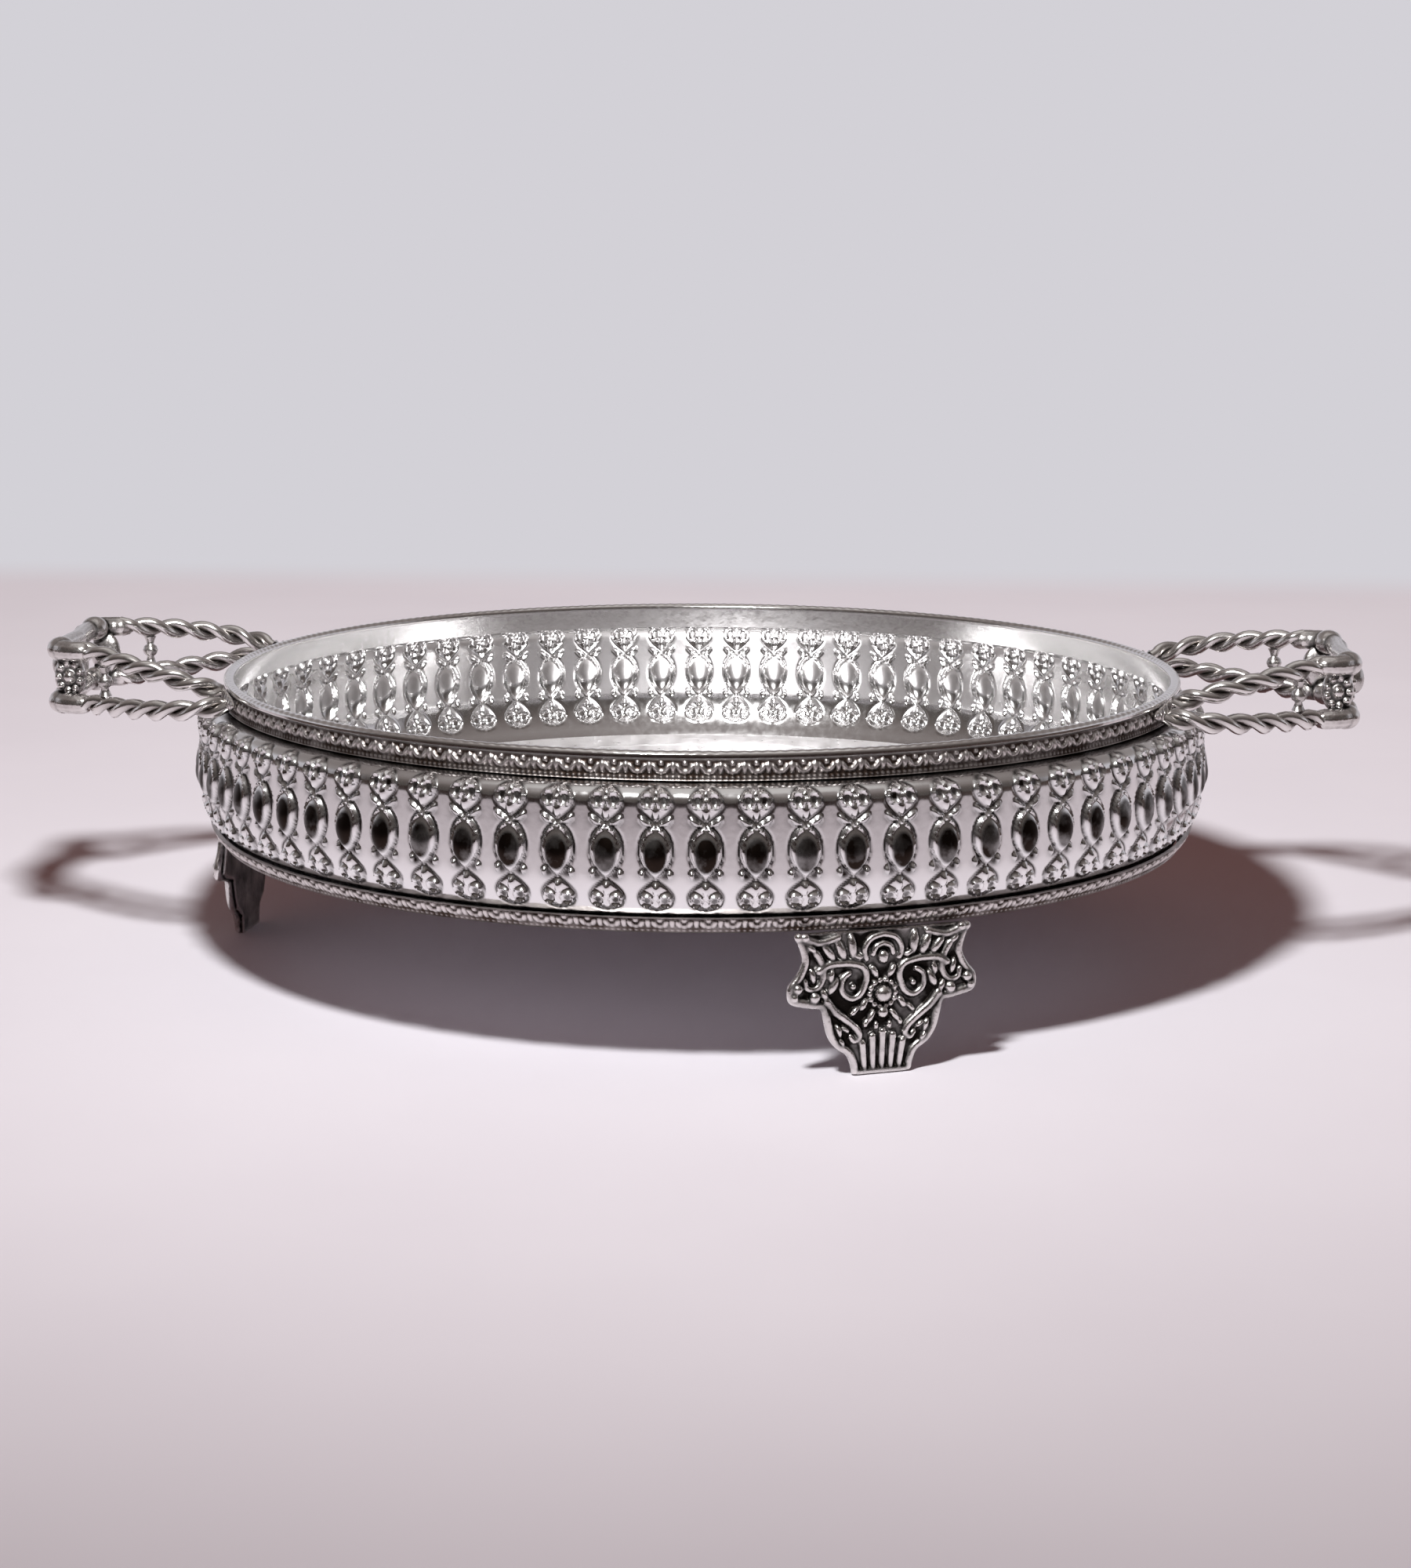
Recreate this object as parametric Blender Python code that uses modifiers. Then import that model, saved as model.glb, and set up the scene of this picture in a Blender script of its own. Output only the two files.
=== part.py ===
"""Round silver-plated vanity tray: a stamped gallery wall on a flat floor, with two rope handles and three cast feet.

Metres, +Z up. The origin is on the table, under the middle of the tray, and the handles lie on +X and -X.
"""

import math

import bmesh
import bpy
from mathutils import Matrix, Vector

# Driving dimensions.
RIM_HEIGHT = 0.0860
BASE_HEIGHT = 0.0390
BELLY_RADIUS = 0.1468
RIM_RADIUS = 0.1402
SHEET = 0.0010
GAP = 0.0003
PANELS = 72
PANEL_PHASE = 3.43
PANEL_RELIEF = 0.0020
BORDER_THICKNESS = 0.0012
FLOOR_THICKNESS = 0.0012
FOOT_ANGLES = {"front": -67.8, "back": 52.2, "left": 172.2}
FOOT_THICKNESS = 0.0034
ROPE_RADIUS = 0.0027
HANDLE_REACH = 0.1865
HANDLE_ANGLES = {"right": 0.0, "left": 180.0}

# Derived sizes.
LIP_HEIGHT = 0.0018
WALL_TOP = RIM_HEIGHT - LIP_HEIGHT - GAP
UPPER_BORDER_BOTTOM = RIM_HEIGHT - 0.0076
LOWER_BORDER_TOP = BASE_HEIGHT + 0.0050
NECK_RADIUS = RIM_RADIUS - BORDER_THICKNESS - GAP
FLANGE_RADIUS = 0.1320
FLOOR_TOP = BASE_HEIGHT + SHEET + GAP + FLOOR_THICKNESS
RING_STEPS = 72
FULL_TURN = 2 * math.pi


def clear_scene():
    for old in list(bpy.data.objects):
        bpy.data.objects.remove(old, do_unlink=True)


def new_collection(name):
    collection = bpy.data.collections.new(name)
    bpy.context.scene.collection.children.link(collection)
    return collection


clear_scene()
TRAY = new_collection("vanity_tray")
CUTTERS = new_collection("cutters")


def finish_material(name, colour, roughness):
    material = bpy.data.materials.new(name)
    material.use_nodes = True
    shader = material.node_tree.nodes["Principled BSDF"]
    shader.inputs["Base Color"].default_value = (*colour, 1.0)
    shader.inputs["Metallic"].default_value = 1.0
    shader.inputs["Roughness"].default_value = roughness
    return material


def place_in(obj, collection, material=None):
    """Puts an object in its collection, with one material, smooth on its round faces."""
    for owner in list(obj.users_collection):
        owner.objects.unlink(obj)
    collection.objects.link(obj)
    if material:
        obj.data.materials.clear()
        obj.data.materials.append(material)
    if obj.type == "MESH":
        obj.data.shade_smooth()
        obj.data.set_sharp_from_angle(angle=math.radians(40))
    return obj


def object_from(bm, name, collection, material=None):
    mesh = bpy.data.meshes.new(name)
    bm.to_mesh(mesh)
    bm.free()
    return place_in(bpy.data.objects.new(name, mesh), collection, material)


def turned(name, profile, material, steps=RING_STEPS):
    """A turned piece from a closed profile of (radius, height) points that runs down its outer side."""
    mesh = bpy.data.meshes.new(name)
    points = [(radius, 0.0, height) for radius, height in profile]
    edges = [(i, (i + 1) % len(points)) for i in range(len(points))]
    mesh.from_pydata(points, edges, [])
    piece = place_in(bpy.data.objects.new(name, mesh), TRAY, material)
    screw = piece.modifiers.new("turn", "SCREW")
    screw.steps = steps
    screw.render_steps = steps
    screw.use_merge_vertices = True
    screw.merge_threshold = 0.00005
    return piece


def cylinder(name, radius, low, high, collection, material=None, sides=16):
    """An upright cylinder between two heights, centred on its own Z axis."""
    bm = bmesh.new()
    bmesh.ops.create_cone(bm, cap_ends=True, segments=sides, radius1=radius, radius2=radius, depth=high - low)
    bmesh.ops.translate(bm, verts=bm.verts, vec=(0, 0, (low + high) / 2))
    return object_from(bm, name, collection, material)


def box(name, low, high, collection, material=None):
    bm = bmesh.new()
    bmesh.ops.create_cube(bm, size=1.0)
    size = Vector(high) - Vector(low)
    bmesh.ops.scale(bm, verts=bm.verts, vec=size)
    bmesh.ops.translate(bm, verts=bm.verts, vec=Vector(low) + size / 2)
    return object_from(bm, name, collection, material)


def tube(name, points, radius, collection, material=None):
    """A round bar along a list of points, as a closed mesh with flat ends."""
    curve = bpy.data.curves.new(name, "CURVE")
    curve.dimensions = "3D"
    curve.bevel_depth = radius
    curve.bevel_resolution = 2
    curve.use_fill_caps = True
    spline = curve.splines.new("POLY")
    spline.points.add(len(points) - 1)
    for target, point in zip(spline.points, points):
        target.co = (*point, 1.0)
    wire = bpy.data.objects.new(name + "_wire", curve)
    bpy.context.scene.collection.objects.link(wire)
    return mesh_from_curve(wire, name, collection, material)


def mesh_from_curve(wire, name, collection, material):
    """Turns a curve object into a closed mesh object and removes the curve."""
    bpy.context.view_layer.update()
    graph = bpy.context.evaluated_depsgraph_get()
    mesh = bpy.data.meshes.new_from_object(wire.evaluated_get(graph))
    bm = bmesh.new()
    bm.from_mesh(mesh)
    bmesh.ops.remove_doubles(bm, verts=bm.verts, dist=0.00001)
    bmesh.ops.recalc_face_normals(bm, faces=bm.faces)
    bm.to_mesh(mesh)
    bm.free()
    mesh.name = name
    solid = bpy.data.objects.new(name, mesh)
    solid.matrix_world = wire.matrix_world
    bpy.data.objects.remove(wire, do_unlink=True)
    return place_in(solid, collection, material)


def outline(name, points, thickness, collection, material=None):
    """A flat plate from a closed outline, lying in the XZ plane and centred on Y."""
    curve = bpy.data.curves.new(name, "CURVE")
    curve.dimensions = "2D"
    curve.fill_mode = "BOTH"
    curve.extrude = thickness / 2
    spline = curve.splines.new("POLY")
    spline.points.add(len(points) - 1)
    for target, (x, z) in zip(spline.points, points):
        target.co = (x, z, 0.0, 1.0)
    spline.use_cyclic_u = True
    wire = bpy.data.objects.new(name + "_outline", curve)
    wire.rotation_euler = (math.pi / 2, 0, 0)
    bpy.context.scene.collection.objects.link(wire)
    return mesh_from_curve(wire, name, collection, material)


def combine(piece, other, operation):
    """Joins another solid to a piece, or cuts it away, and keeps that solid as a hidden helper."""
    modifier = piece.modifiers.new(other.name, "BOOLEAN")
    modifier.operation = operation
    modifier.solver = "EXACT"
    modifier.object = other
    other.hide_render = True
    other.display_type = "WIRE"


def polar(radius, degrees, height=0.0):
    angle = math.radians(degrees)
    return Vector((radius * math.cos(angle), radius * math.sin(angle), height))


def bend(start, control, end, count):
    """Points along a quadratic curve from start to end that heads for the control point first."""
    points = []
    for i in range(count):
        t = i / (count - 1)
        points.append(start * (1 - t) ** 2 + control * 2 * t * (1 - t) + end * t ** 2)
    return points


STAMPED = finish_material("stamped_silver_plate", (0.66, 0.64, 0.64), 0.24)
POLISHED = finish_material("polished_silver_plate", (0.78, 0.77, 0.77), 0.12)
CAST = finish_material("cast_silver_plate", (0.60, 0.58, 0.57), 0.28)
ROPE = finish_material("twisted_silver_plate", (0.72, 0.71, 0.70), 0.20)
STEEL = finish_material("nickelled_steel", (0.58, 0.57, 0.55), 0.30)


# Gallery wall: one stamped strip rolled into a ring. Its foot is turned in as a seat for the floor.
def wall_outside():
    """(radius, height) of the plain flutes, from the top edge down to the bottom edge."""
    return [
        (NECK_RADIUS, WALL_TOP),
        (NECK_RADIUS, UPPER_BORDER_BOTTOM - GAP),
        (NECK_RADIUS + 0.0046, 0.0752),
        (BELLY_RADIUS - 0.0016, 0.0702),
        (BELLY_RADIUS - 0.0003, 0.0645),
        (BELLY_RADIUS, 0.0582),
        (BELLY_RADIUS - 0.0005, 0.0520),
        (BELLY_RADIUS - 0.0018, LOWER_BORDER_TOP + 0.0026),
        (BELLY_RADIUS - 0.0042, LOWER_BORDER_TOP),
        (NECK_RADIUS + 0.0012, BASE_HEIGHT),
    ]


def build_gallery_wall():
    outside = wall_outside()
    inside = [(radius - SHEET, height) for radius, height in outside[:-1]]
    seat_top = BASE_HEIGHT + SHEET
    seat = [(FLANGE_RADIUS, BASE_HEIGHT), (FLANGE_RADIUS, seat_top), (NECK_RADIUS + 0.0006, seat_top)]
    profile = outside + seat + list(reversed(inside))
    bm = bmesh.new()
    corners = [bm.verts.new((radius, 0.0, height)) for radius, height in profile]
    edges = [bm.edges.new((corners[i - 1], corners[i])) for i in range(len(corners))]
    columns = 2 * PANELS
    bmesh.ops.spin(
        bm, geom=corners + edges, cent=(0, 0, 0), axis=(0, 0, 1), angle=FULL_TURN, steps=columns, use_merge=True
    )
    bmesh.ops.remove_doubles(bm, verts=bm.verts, dist=0.00002)
    bmesh.ops.recalc_face_normals(bm, faces=bm.faces)
    press_panels(bm, columns)
    wall = object_from(bm, "gallery_wall", TRAY, STAMPED)
    wall.rotation_euler = (0, 0, math.radians(PANEL_PHASE))
    return wall


def press_panels(bm, columns):
    """Pushes every second column of the wall outwards between the two borders, which makes the raised panels."""
    low, high = LOWER_BORDER_TOP, UPPER_BORDER_BOTTOM
    for vert in bm.verts:
        column = round(math.atan2(vert.co.y, vert.co.x) / FULL_TURN * columns)
        if column % 2 or not low < vert.co.z < high:
            continue
        across = (vert.co.z - low) / (high - low)
        grown = 1 + PANEL_RELIEF * math.sin(math.pi * across) / BELLY_RADIUS
        vert.co.x *= grown
        vert.co.y *= grown


build_gallery_wall()

# Lip: a half-round polished wire over the top edges of the wall and the upper border.
lip_inner = NECK_RADIUS - SHEET - 0.0006
lip_bottom = RIM_HEIGHT - LIP_HEIGHT
turned(
    "rim_lip",
    [
        (lip_inner + 0.0008, RIM_HEIGHT),
        (RIM_RADIUS - 0.0008, RIM_HEIGHT),
        (RIM_RADIUS, RIM_HEIGHT - 0.0007),
        (RIM_RADIUS, lip_bottom),
        (lip_inner, lip_bottom),
        (lip_inner, RIM_HEIGHT - 0.0007),
    ],
    POLISHED,
)

# Borders: die-struck strips soldered round the outside of the wall, at its top and at its foot.
upper_border_inner = NECK_RADIUS + GAP
turned(
    "upper_border",
    [
        (upper_border_inner, lip_bottom - GAP),
        (RIM_RADIUS - 0.0004, lip_bottom - GAP),
        (RIM_RADIUS - 0.0002, (lip_bottom + UPPER_BORDER_BOTTOM) / 2),
        (RIM_RADIUS - 0.0004, UPPER_BORDER_BOTTOM),
        (upper_border_inner, UPPER_BORDER_BOTTOM),
    ],
    STAMPED,
)

border_foot = NECK_RADIUS + 0.0012 + 2 * GAP
border_head = BELLY_RADIUS - 0.0042 + 2 * GAP
turned(
    "lower_border",
    [
        (border_head, LOWER_BORDER_TOP),
        (border_head + BORDER_THICKNESS, LOWER_BORDER_TOP - 0.0004),
        (border_foot + BORDER_THICKNESS + 0.0005, BASE_HEIGHT + 0.0018),
        (border_foot + BORDER_THICKNESS, BASE_HEIGHT),
        (border_foot, BASE_HEIGHT),
    ],
    STAMPED,
)

# Floor: a polished sheet disc that lies on the wall's turned-in seat, with a hole for each foot's screw.
SCREW_CIRCLE = 0.1265
SCREW_RADIUS = 0.0015
HOLE_RADIUS = SCREW_RADIUS + GAP
floor_radius = NECK_RADIUS - SHEET - 0.0002
floor_bottom = FLOOR_TOP - FLOOR_THICKNESS


def build_floor():
    bm = bmesh.new()
    bmesh.ops.create_cone(
        bm, cap_ends=True, segments=RING_STEPS, radius1=floor_radius, radius2=floor_radius, depth=FLOOR_THICKNESS
    )
    bmesh.ops.translate(bm, verts=bm.verts, vec=(0, 0, FLOOR_TOP - FLOOR_THICKNESS / 2))
    return object_from(bm, "floor_plate", TRAY, POLISHED)


floor_plate = build_floor()


# Feet: flat scrolled castings. A lug behind each one reaches under the floor and takes a screw and a nut.
FOOT_TOP = BASE_HEIGHT - GAP
FOOT_CENTRE_RADIUS = 0.1418
LUG_HALF_WIDTH = 0.0080
LUG_BOTTOM = FOOT_TOP - 0.0028
LUG_TIP = SCREW_CIRCLE - 0.0060
JEWEL_HEIGHT = 0.0205
JEWEL_RADIUS = 0.0030
NUT_HEIGHT = 0.0024
NUT_RADIUS = 0.0032
HEAD_RADIUS = 0.0030
HEAD_HEIGHT = 0.0016


def foot_outline():
    """Half of the foot's front view from the top down, as (half width, height), then the same half mirrored."""
    half = [
        (0.0241, FOOT_TOP),
        (0.0236, 0.0350),
        (0.0221, 0.0318),
        (0.0238, 0.0272),
        (0.0262, 0.0245),
        (0.0266, 0.0222),
        (0.0246, 0.0200),
        (0.0166, 0.0182),
        (0.0152, 0.0140),
        (0.0135, 0.0087),
        (0.0092, 0.0056),
        (0.0086, 0.0020),
        (0.0067, 0.0),
    ]
    return half + [(-x, z) for x, z in reversed(half)]


def build_foot(place, degrees):
    turn = math.radians(degrees + 90)
    foot = outline("foot_" + place, foot_outline(), FOOT_THICKNESS, TRAY, CAST)
    foot.rotation_euler = (math.pi / 2, 0, turn)
    foot.location = polar(FOOT_CENTRE_RADIUS, degrees)
    inner_face = FOOT_CENTRE_RADIUS - FOOT_THICKNESS / 2
    lug = box(
        "lug_" + place, (LUG_TIP, -LUG_HALF_WIDTH, LUG_BOTTOM), (inner_face + 0.001, LUG_HALF_WIDTH, FOOT_TOP), CUTTERS
    )
    step = box(
        "lug_step_" + place,
        (LUG_TIP, -LUG_HALF_WIDTH, FOOT_TOP - 0.001),
        (FLANGE_RADIUS - GAP, LUG_HALF_WIDTH, floor_bottom - GAP),
        CUTTERS,
    )
    hole = cylinder("hole_" + place, HOLE_RADIUS, LUG_BOTTOM - 0.002, FLOOR_TOP + 0.002, CUTTERS)
    jewel = build_jewel("jewel_" + place)
    for helper in (lug, step):
        helper.rotation_euler = (0, 0, math.radians(degrees))
    hole.location = polar(SCREW_CIRCLE, degrees)
    jewel.location = polar(FOOT_CENTRE_RADIUS + FOOT_THICKNESS / 2, degrees, JEWEL_HEIGHT)
    combine(foot, lug, "UNION")
    combine(foot, step, "UNION")
    combine(foot, jewel, "UNION")
    combine(foot, hole, "DIFFERENCE")
    combine(floor_plate, hole, "DIFFERENCE")
    build_screw(place, degrees)
    build_nut(place, degrees)


def build_jewel(name):
    bm = bmesh.new()
    bmesh.ops.create_uvsphere(bm, u_segments=12, v_segments=8, radius=JEWEL_RADIUS)
    return object_from(bm, name, CUTTERS)


def build_screw(place, degrees):
    """A round-headed screw: its head stands on the floor and its shank ends just below the nut."""
    top = FLOOR_TOP + GAP
    end = LUG_BOTTOM - GAP - NUT_HEIGHT - 0.0008
    screw = turned(
        "foot_" + place + "_screw",
        [
            (0.0, top + HEAD_HEIGHT),
            (HEAD_RADIUS * 0.6, top + HEAD_HEIGHT * 0.8),
            (HEAD_RADIUS, top + HEAD_HEIGHT * 0.25),
            (HEAD_RADIUS, top),
            (SCREW_RADIUS, top),
            (SCREW_RADIUS, end),
            (0.0, end),
        ],
        STEEL,
        steps=16,
    )
    screw.location = polar(SCREW_CIRCLE, degrees)
    return screw


def build_nut(place, degrees):
    top = LUG_BOTTOM - GAP
    nut = cylinder("foot_" + place + "_nut", NUT_RADIUS, top - NUT_HEIGHT, top, TRAY, STEEL, sides=6)
    bore = cylinder("nut_bore_" + place, HOLE_RADIUS, top - NUT_HEIGHT - 0.002, top + 0.002, CUTTERS)
    for piece in (nut, bore):
        piece.location = polar(SCREW_CIRCLE, degrees)
    combine(nut, bore, "DIFFERENCE")


for foot_place, foot_degrees in FOOT_ANGLES.items():
    build_foot(foot_place, foot_degrees)


# Handles: four rope legs run from two pads on the rim out to a cast end with a round boss.
PAD_INNER = RIM_RADIUS + GAP
PAD_OUTER = PAD_INNER + SHEET
PAD_ANGLES = (14.4, 24.6)
PAD_HEIGHTS = (0.0792, 0.0856)
PAD_STEPS = 4
LEVELS = {
    "upper": {"degrees": 17.9, "pad_height": 0.0844, "end_height": 0.0924},
    "lower": {"degrees": 21.1, "pad_height": 0.0812, "end_height": 0.0770},
}
SOCKET_HALF_WIDTH = 0.0258
NOSE_HALF_WIDTH = 0.0230
NOSE_REACH = HANDLE_REACH + 0.0020
END_START = HANDLE_REACH - 0.0072
END_BAR_RADIUS = 0.0031
BAR_STRAIGHT_HALF = 0.0085
BAR_STEPS = 6
LEG_STEPS = 9
LEG_STUB = 0.0020
LEG_SWEEP = 0.0160
LEG_EARLY_RISE = 0.55
STRUT_PLACE = 0.1715
STRUT_RADIUS = 0.0013
BOSS_RADIUS = 0.0046
BOSS_DEPTH = 0.0026
PLATE_HALF_WIDTH = 0.0085
PLATE_THICKNESS = 0.0076
PLATE_PLACE = HANDLE_REACH + 0.0010
END_MIDDLE = (LEVELS["upper"]["end_height"] + LEVELS["lower"]["end_height"]) / 2
PEG_RADIUS = 0.0016


def leg_path(level, side):
    """Centre line of one rope leg: square off its pad, then in and away to the end casting."""
    sizes = LEVELS[level]
    degrees = side * sizes["degrees"]
    height = sizes["pad_height"]
    stub = [polar(PAD_OUTER + GAP, degrees, height)]
    start = polar(PAD_OUTER + GAP + LEG_STUB, degrees, height)
    control = polar(PAD_OUTER + LEG_SWEEP, degrees, height + LEG_EARLY_RISE * (sizes["end_height"] - height))
    socket = Vector((END_START - GAP, side * SOCKET_HALF_WIDTH, sizes["end_height"]))
    end = socket - Vector((LEG_STUB, 0, 0))
    return stub + bend(start, control, end, LEG_STEPS) + [socket]


def bar_path(level):
    """Centre line of one smooth bar of the end casting, from leg to leg round its two corners."""
    height = LEVELS[level]["end_height"]
    half = []
    for side in (1, -1):
        socket = Vector((END_START, side * SOCKET_HALF_WIDTH, height))
        start = socket + Vector((LEG_STUB, 0, 0))
        corner = Vector((NOSE_REACH, side * NOSE_HALF_WIDTH, height))
        middle = Vector((HANDLE_REACH, side * BAR_STRAIGHT_HALF, height))
        half.append([socket] + bend(start, corner, middle, BAR_STEPS))
    return half[0] + list(reversed(half[1]))


def build_end_casting(name):
    """Two smooth bars joined by an upright plate with a hole for the boss's peg."""
    casting = tube(name, bar_path("upper"), END_BAR_RADIUS, TRAY, CAST)
    lower = tube(name + "_lower_bar", bar_path("lower"), END_BAR_RADIUS, CUTTERS)
    rise = LEVELS["upper"]["end_height"] - END_MIDDLE
    wide, narrow = PLATE_HALF_WIDTH, PLATE_HALF_WIDTH * 0.72
    half = [(narrow, rise), (wide, rise * 0.55), (wide * 0.86, 0.0), (wide, -rise * 0.55), (narrow, -rise)]
    points = half + [(-x, z) for x, z in reversed(half)]
    plate = outline(name + "_plate", points, PLATE_THICKNESS, CUTTERS)
    plate.rotation_euler = (math.pi / 2, 0, math.pi / 2)
    plate.location = (PLATE_PLACE, 0, END_MIDDLE)
    peg_hole = peg_cylinder(name + "_peg_hole", PEG_RADIUS + GAP, PLATE_THICKNESS + 0.002, CUTTERS)
    peg_hole.location = (PLATE_PLACE, 0, END_MIDDLE)
    combine(casting, lower, "UNION")
    combine(casting, plate, "UNION")
    combine(casting, peg_hole, "DIFFERENCE")
    return [casting, lower, plate, peg_hole]


def peg_cylinder(name, radius, length, collection):
    """A cylinder along X, centred on its own origin."""
    bm = bmesh.new()
    bmesh.ops.create_cone(bm, cap_ends=True, segments=12, radius1=radius, radius2=radius, depth=length)
    bmesh.ops.rotate(bm, verts=bm.verts, cent=(0, 0, 0), matrix=Matrix.Rotation(math.pi / 2, 3, "Y"))
    return object_from(bm, name, collection)


def build_boss(name):
    """A domed stud that faces away from the tray, with its peg through the casting."""
    face = PLATE_THICKNESS / 2 + GAP
    boss = turned(
        name,
        [
            (0.0, face + BOSS_DEPTH),
            (BOSS_RADIUS * 0.55, face + BOSS_DEPTH * 0.82),
            (BOSS_RADIUS * 0.88, face + BOSS_DEPTH * 0.45),
            (BOSS_RADIUS, face),
            (PEG_RADIUS, face),
            (PEG_RADIUS, -PLATE_THICKNESS / 2),
            (0.0, -PLATE_THICKNESS / 2),
        ],
        CAST,
        steps=16,
    )
    boss.location = (PLATE_PLACE, 0, END_MIDDLE)
    boss.rotation_euler = (0, math.pi / 2, 0)
    return boss


def height_on(path, reach):
    """The point of a leg's centre line at a given distance out along X."""
    for before, after in zip(path, path[1:]):
        if before.x <= reach <= after.x:
            return before.lerp(after, (reach - before.x) / (after.x - before.x))
    return path[-1]


def build_strut(name, side):
    """A short post between the upper and the lower leg."""
    head = height_on(leg_path("upper", side), STRUT_PLACE)
    foot = height_on(leg_path("lower", side), STRUT_PLACE)
    line = (head - foot).normalized()
    clear = ROPE_RADIUS + GAP
    return tube(name, [foot + line * clear, head - line * clear], STRUT_RADIUS, TRAY, CAST)


def build_pad(name, side):
    """A small curved plate on the rim, which takes the ends of an upper and a lower leg."""
    low, high = PAD_HEIGHTS
    bm = bmesh.new()
    corners = [(PAD_INNER, low), (PAD_OUTER, low), (PAD_OUTER, high), (PAD_INNER, high)]
    verts = [bm.verts.new((radius, 0.0, height)) for radius, height in corners]
    face = bm.faces.new(verts)
    sweep = math.radians(PAD_ANGLES[1] - PAD_ANGLES[0])
    bmesh.ops.spin(bm, geom=[face], cent=(0, 0, 0), axis=(0, 0, 1), angle=sweep, steps=PAD_STEPS)
    bmesh.ops.recalc_face_normals(bm, faces=bm.faces)
    pad = object_from(bm, name, TRAY, CAST)
    first = PAD_ANGLES[0] if side > 0 else -PAD_ANGLES[1]
    pad.rotation_euler = (0, 0, math.radians(first))
    return pad


def build_handle(hand, degrees):
    """One handle, made on +X under an empty that turns it to its own side of the tray."""
    name = hand + "_handle_"
    base = bpy.data.objects.new(name + "frame", None)
    TRAY.objects.link(base)
    pieces = build_end_casting(name + "end")
    pieces.append(build_boss(name + "boss"))
    for side, place in ((1, "back"), (-1, "front")):
        for level in LEVELS:
            leg = name + level + "_" + place + "_rope"
            pieces.append(tube(leg, leg_path(level, side), ROPE_RADIUS, TRAY, ROPE))
        pieces.append(build_strut(name + place + "_strut", side))
        pieces.append(build_pad(name + place + "_pad", side))
    for piece in pieces:
        piece.parent = base
    base.rotation_euler = (0, 0, math.radians(degrees))


for handle_hand, handle_degrees in HANDLE_ANGLES.items():
    build_handle(handle_hand, handle_degrees)
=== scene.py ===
"""A round silver-plated vanity tray on three cast feet, put together in the order a silversmith would."""

import math

import bmesh
import bpy
import numpy as np
from mathutils import Matrix, Vector
from mathutils.geometry import interpolate_bezier


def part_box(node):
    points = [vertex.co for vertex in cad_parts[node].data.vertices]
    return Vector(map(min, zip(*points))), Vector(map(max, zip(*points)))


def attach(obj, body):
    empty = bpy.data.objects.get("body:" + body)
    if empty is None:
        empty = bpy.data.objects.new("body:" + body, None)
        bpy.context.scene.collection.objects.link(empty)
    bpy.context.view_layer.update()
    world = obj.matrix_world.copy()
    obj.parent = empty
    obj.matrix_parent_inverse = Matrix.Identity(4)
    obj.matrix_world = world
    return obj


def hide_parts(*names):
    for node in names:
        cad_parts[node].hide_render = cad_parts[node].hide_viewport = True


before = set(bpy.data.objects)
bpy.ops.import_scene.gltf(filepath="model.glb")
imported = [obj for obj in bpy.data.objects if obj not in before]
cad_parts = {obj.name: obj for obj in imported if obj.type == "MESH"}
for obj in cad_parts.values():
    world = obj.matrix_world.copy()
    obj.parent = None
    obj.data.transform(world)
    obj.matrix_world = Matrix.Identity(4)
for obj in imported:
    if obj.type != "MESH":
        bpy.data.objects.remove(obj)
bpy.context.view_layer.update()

MM = 0.001
FULL_TURN = 2 * math.pi


# ---------------------------------------------------------------------------------------------------
# Gallery wall. Thin brass sheet, die-stamped with seventy-two upright chains of a palmette, a domed
# almond and a second palmette between plain flutes, rolled into a ring from four soldered lengths and
# silver-plated. Its foot is turned in as a seat for the floor.
PANELS = 72
PANEL_TURN = math.radians(3.43)
PANEL_WIDTH = FULL_TURN * 146.6 / PANELS
COLUMNS = 32
LENGTHS = 4
SHEET = 0.8 * MM
NECK = 138.7 * MM
BELLY = 146.6 * MM
SEAT = 132.0 * MM
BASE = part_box("gallery_wall")[0].z
WALL_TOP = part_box("gallery_wall")[1].z
NECK_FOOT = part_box("upper_border")[0].z - 0.3 * MM


def along(points, spacing=0.45 * MM):
    """(radius, height) pairs, evenly close, from a chain of Bezier ends and handles."""
    spots = [Vector((radius, height, 0)) for radius, height in points]
    line = []
    for i in range(0, len(spots) - 1, 3):
        piece = spots[i:i + 4]
        steps = max(4, round((piece[3] - piece[0]).length / spacing))
        line += interpolate_bezier(*piece, steps)[:-1]
    line.append(spots[-1])
    return [(spot.x, spot.y) for spot in line]


def plain_wall():
    """The outside of a plain flute, from the top edge to the foot."""
    shoulder = [(NECK, NECK_FOOT), (143.4 * MM, 78.0 * MM), (BELLY, 77.1 * MM), (BELLY, 72.6 * MM)]
    middle = [(BELLY, 69.0 * MM), (BELLY, 60.0 * MM), (BELLY - 0.1 * MM, 55.0 * MM)]
    under = [(BELLY - 0.2 * MM, 50.5 * MM), (144.6 * MM, 46.6 * MM), (142.6 * MM, 43.6 * MM)]
    foot = [(141.6 * MM, 42.2 * MM), (140.7 * MM, 40.8 * MM), (139.9 * MM, BASE)]
    return [(NECK, WALL_TOP)] + along(shoulder + middle + under + foot)


def dome(x, z, centre, radii, turn=0.0, power=0.5):
    """A rounded boss, 1 at its middle and 0 at its edge. Sizes are in millimetres."""
    dx, dz = x - centre[0], z - centre[1]
    a, b = dx * math.cos(turn) + dz * math.sin(turn), dz * math.cos(turn) - dx * math.sin(turn)
    return np.clip(1 - (a / radii[0]) ** 2 - (b / radii[1]) ** 2, 0, None) ** power


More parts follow.
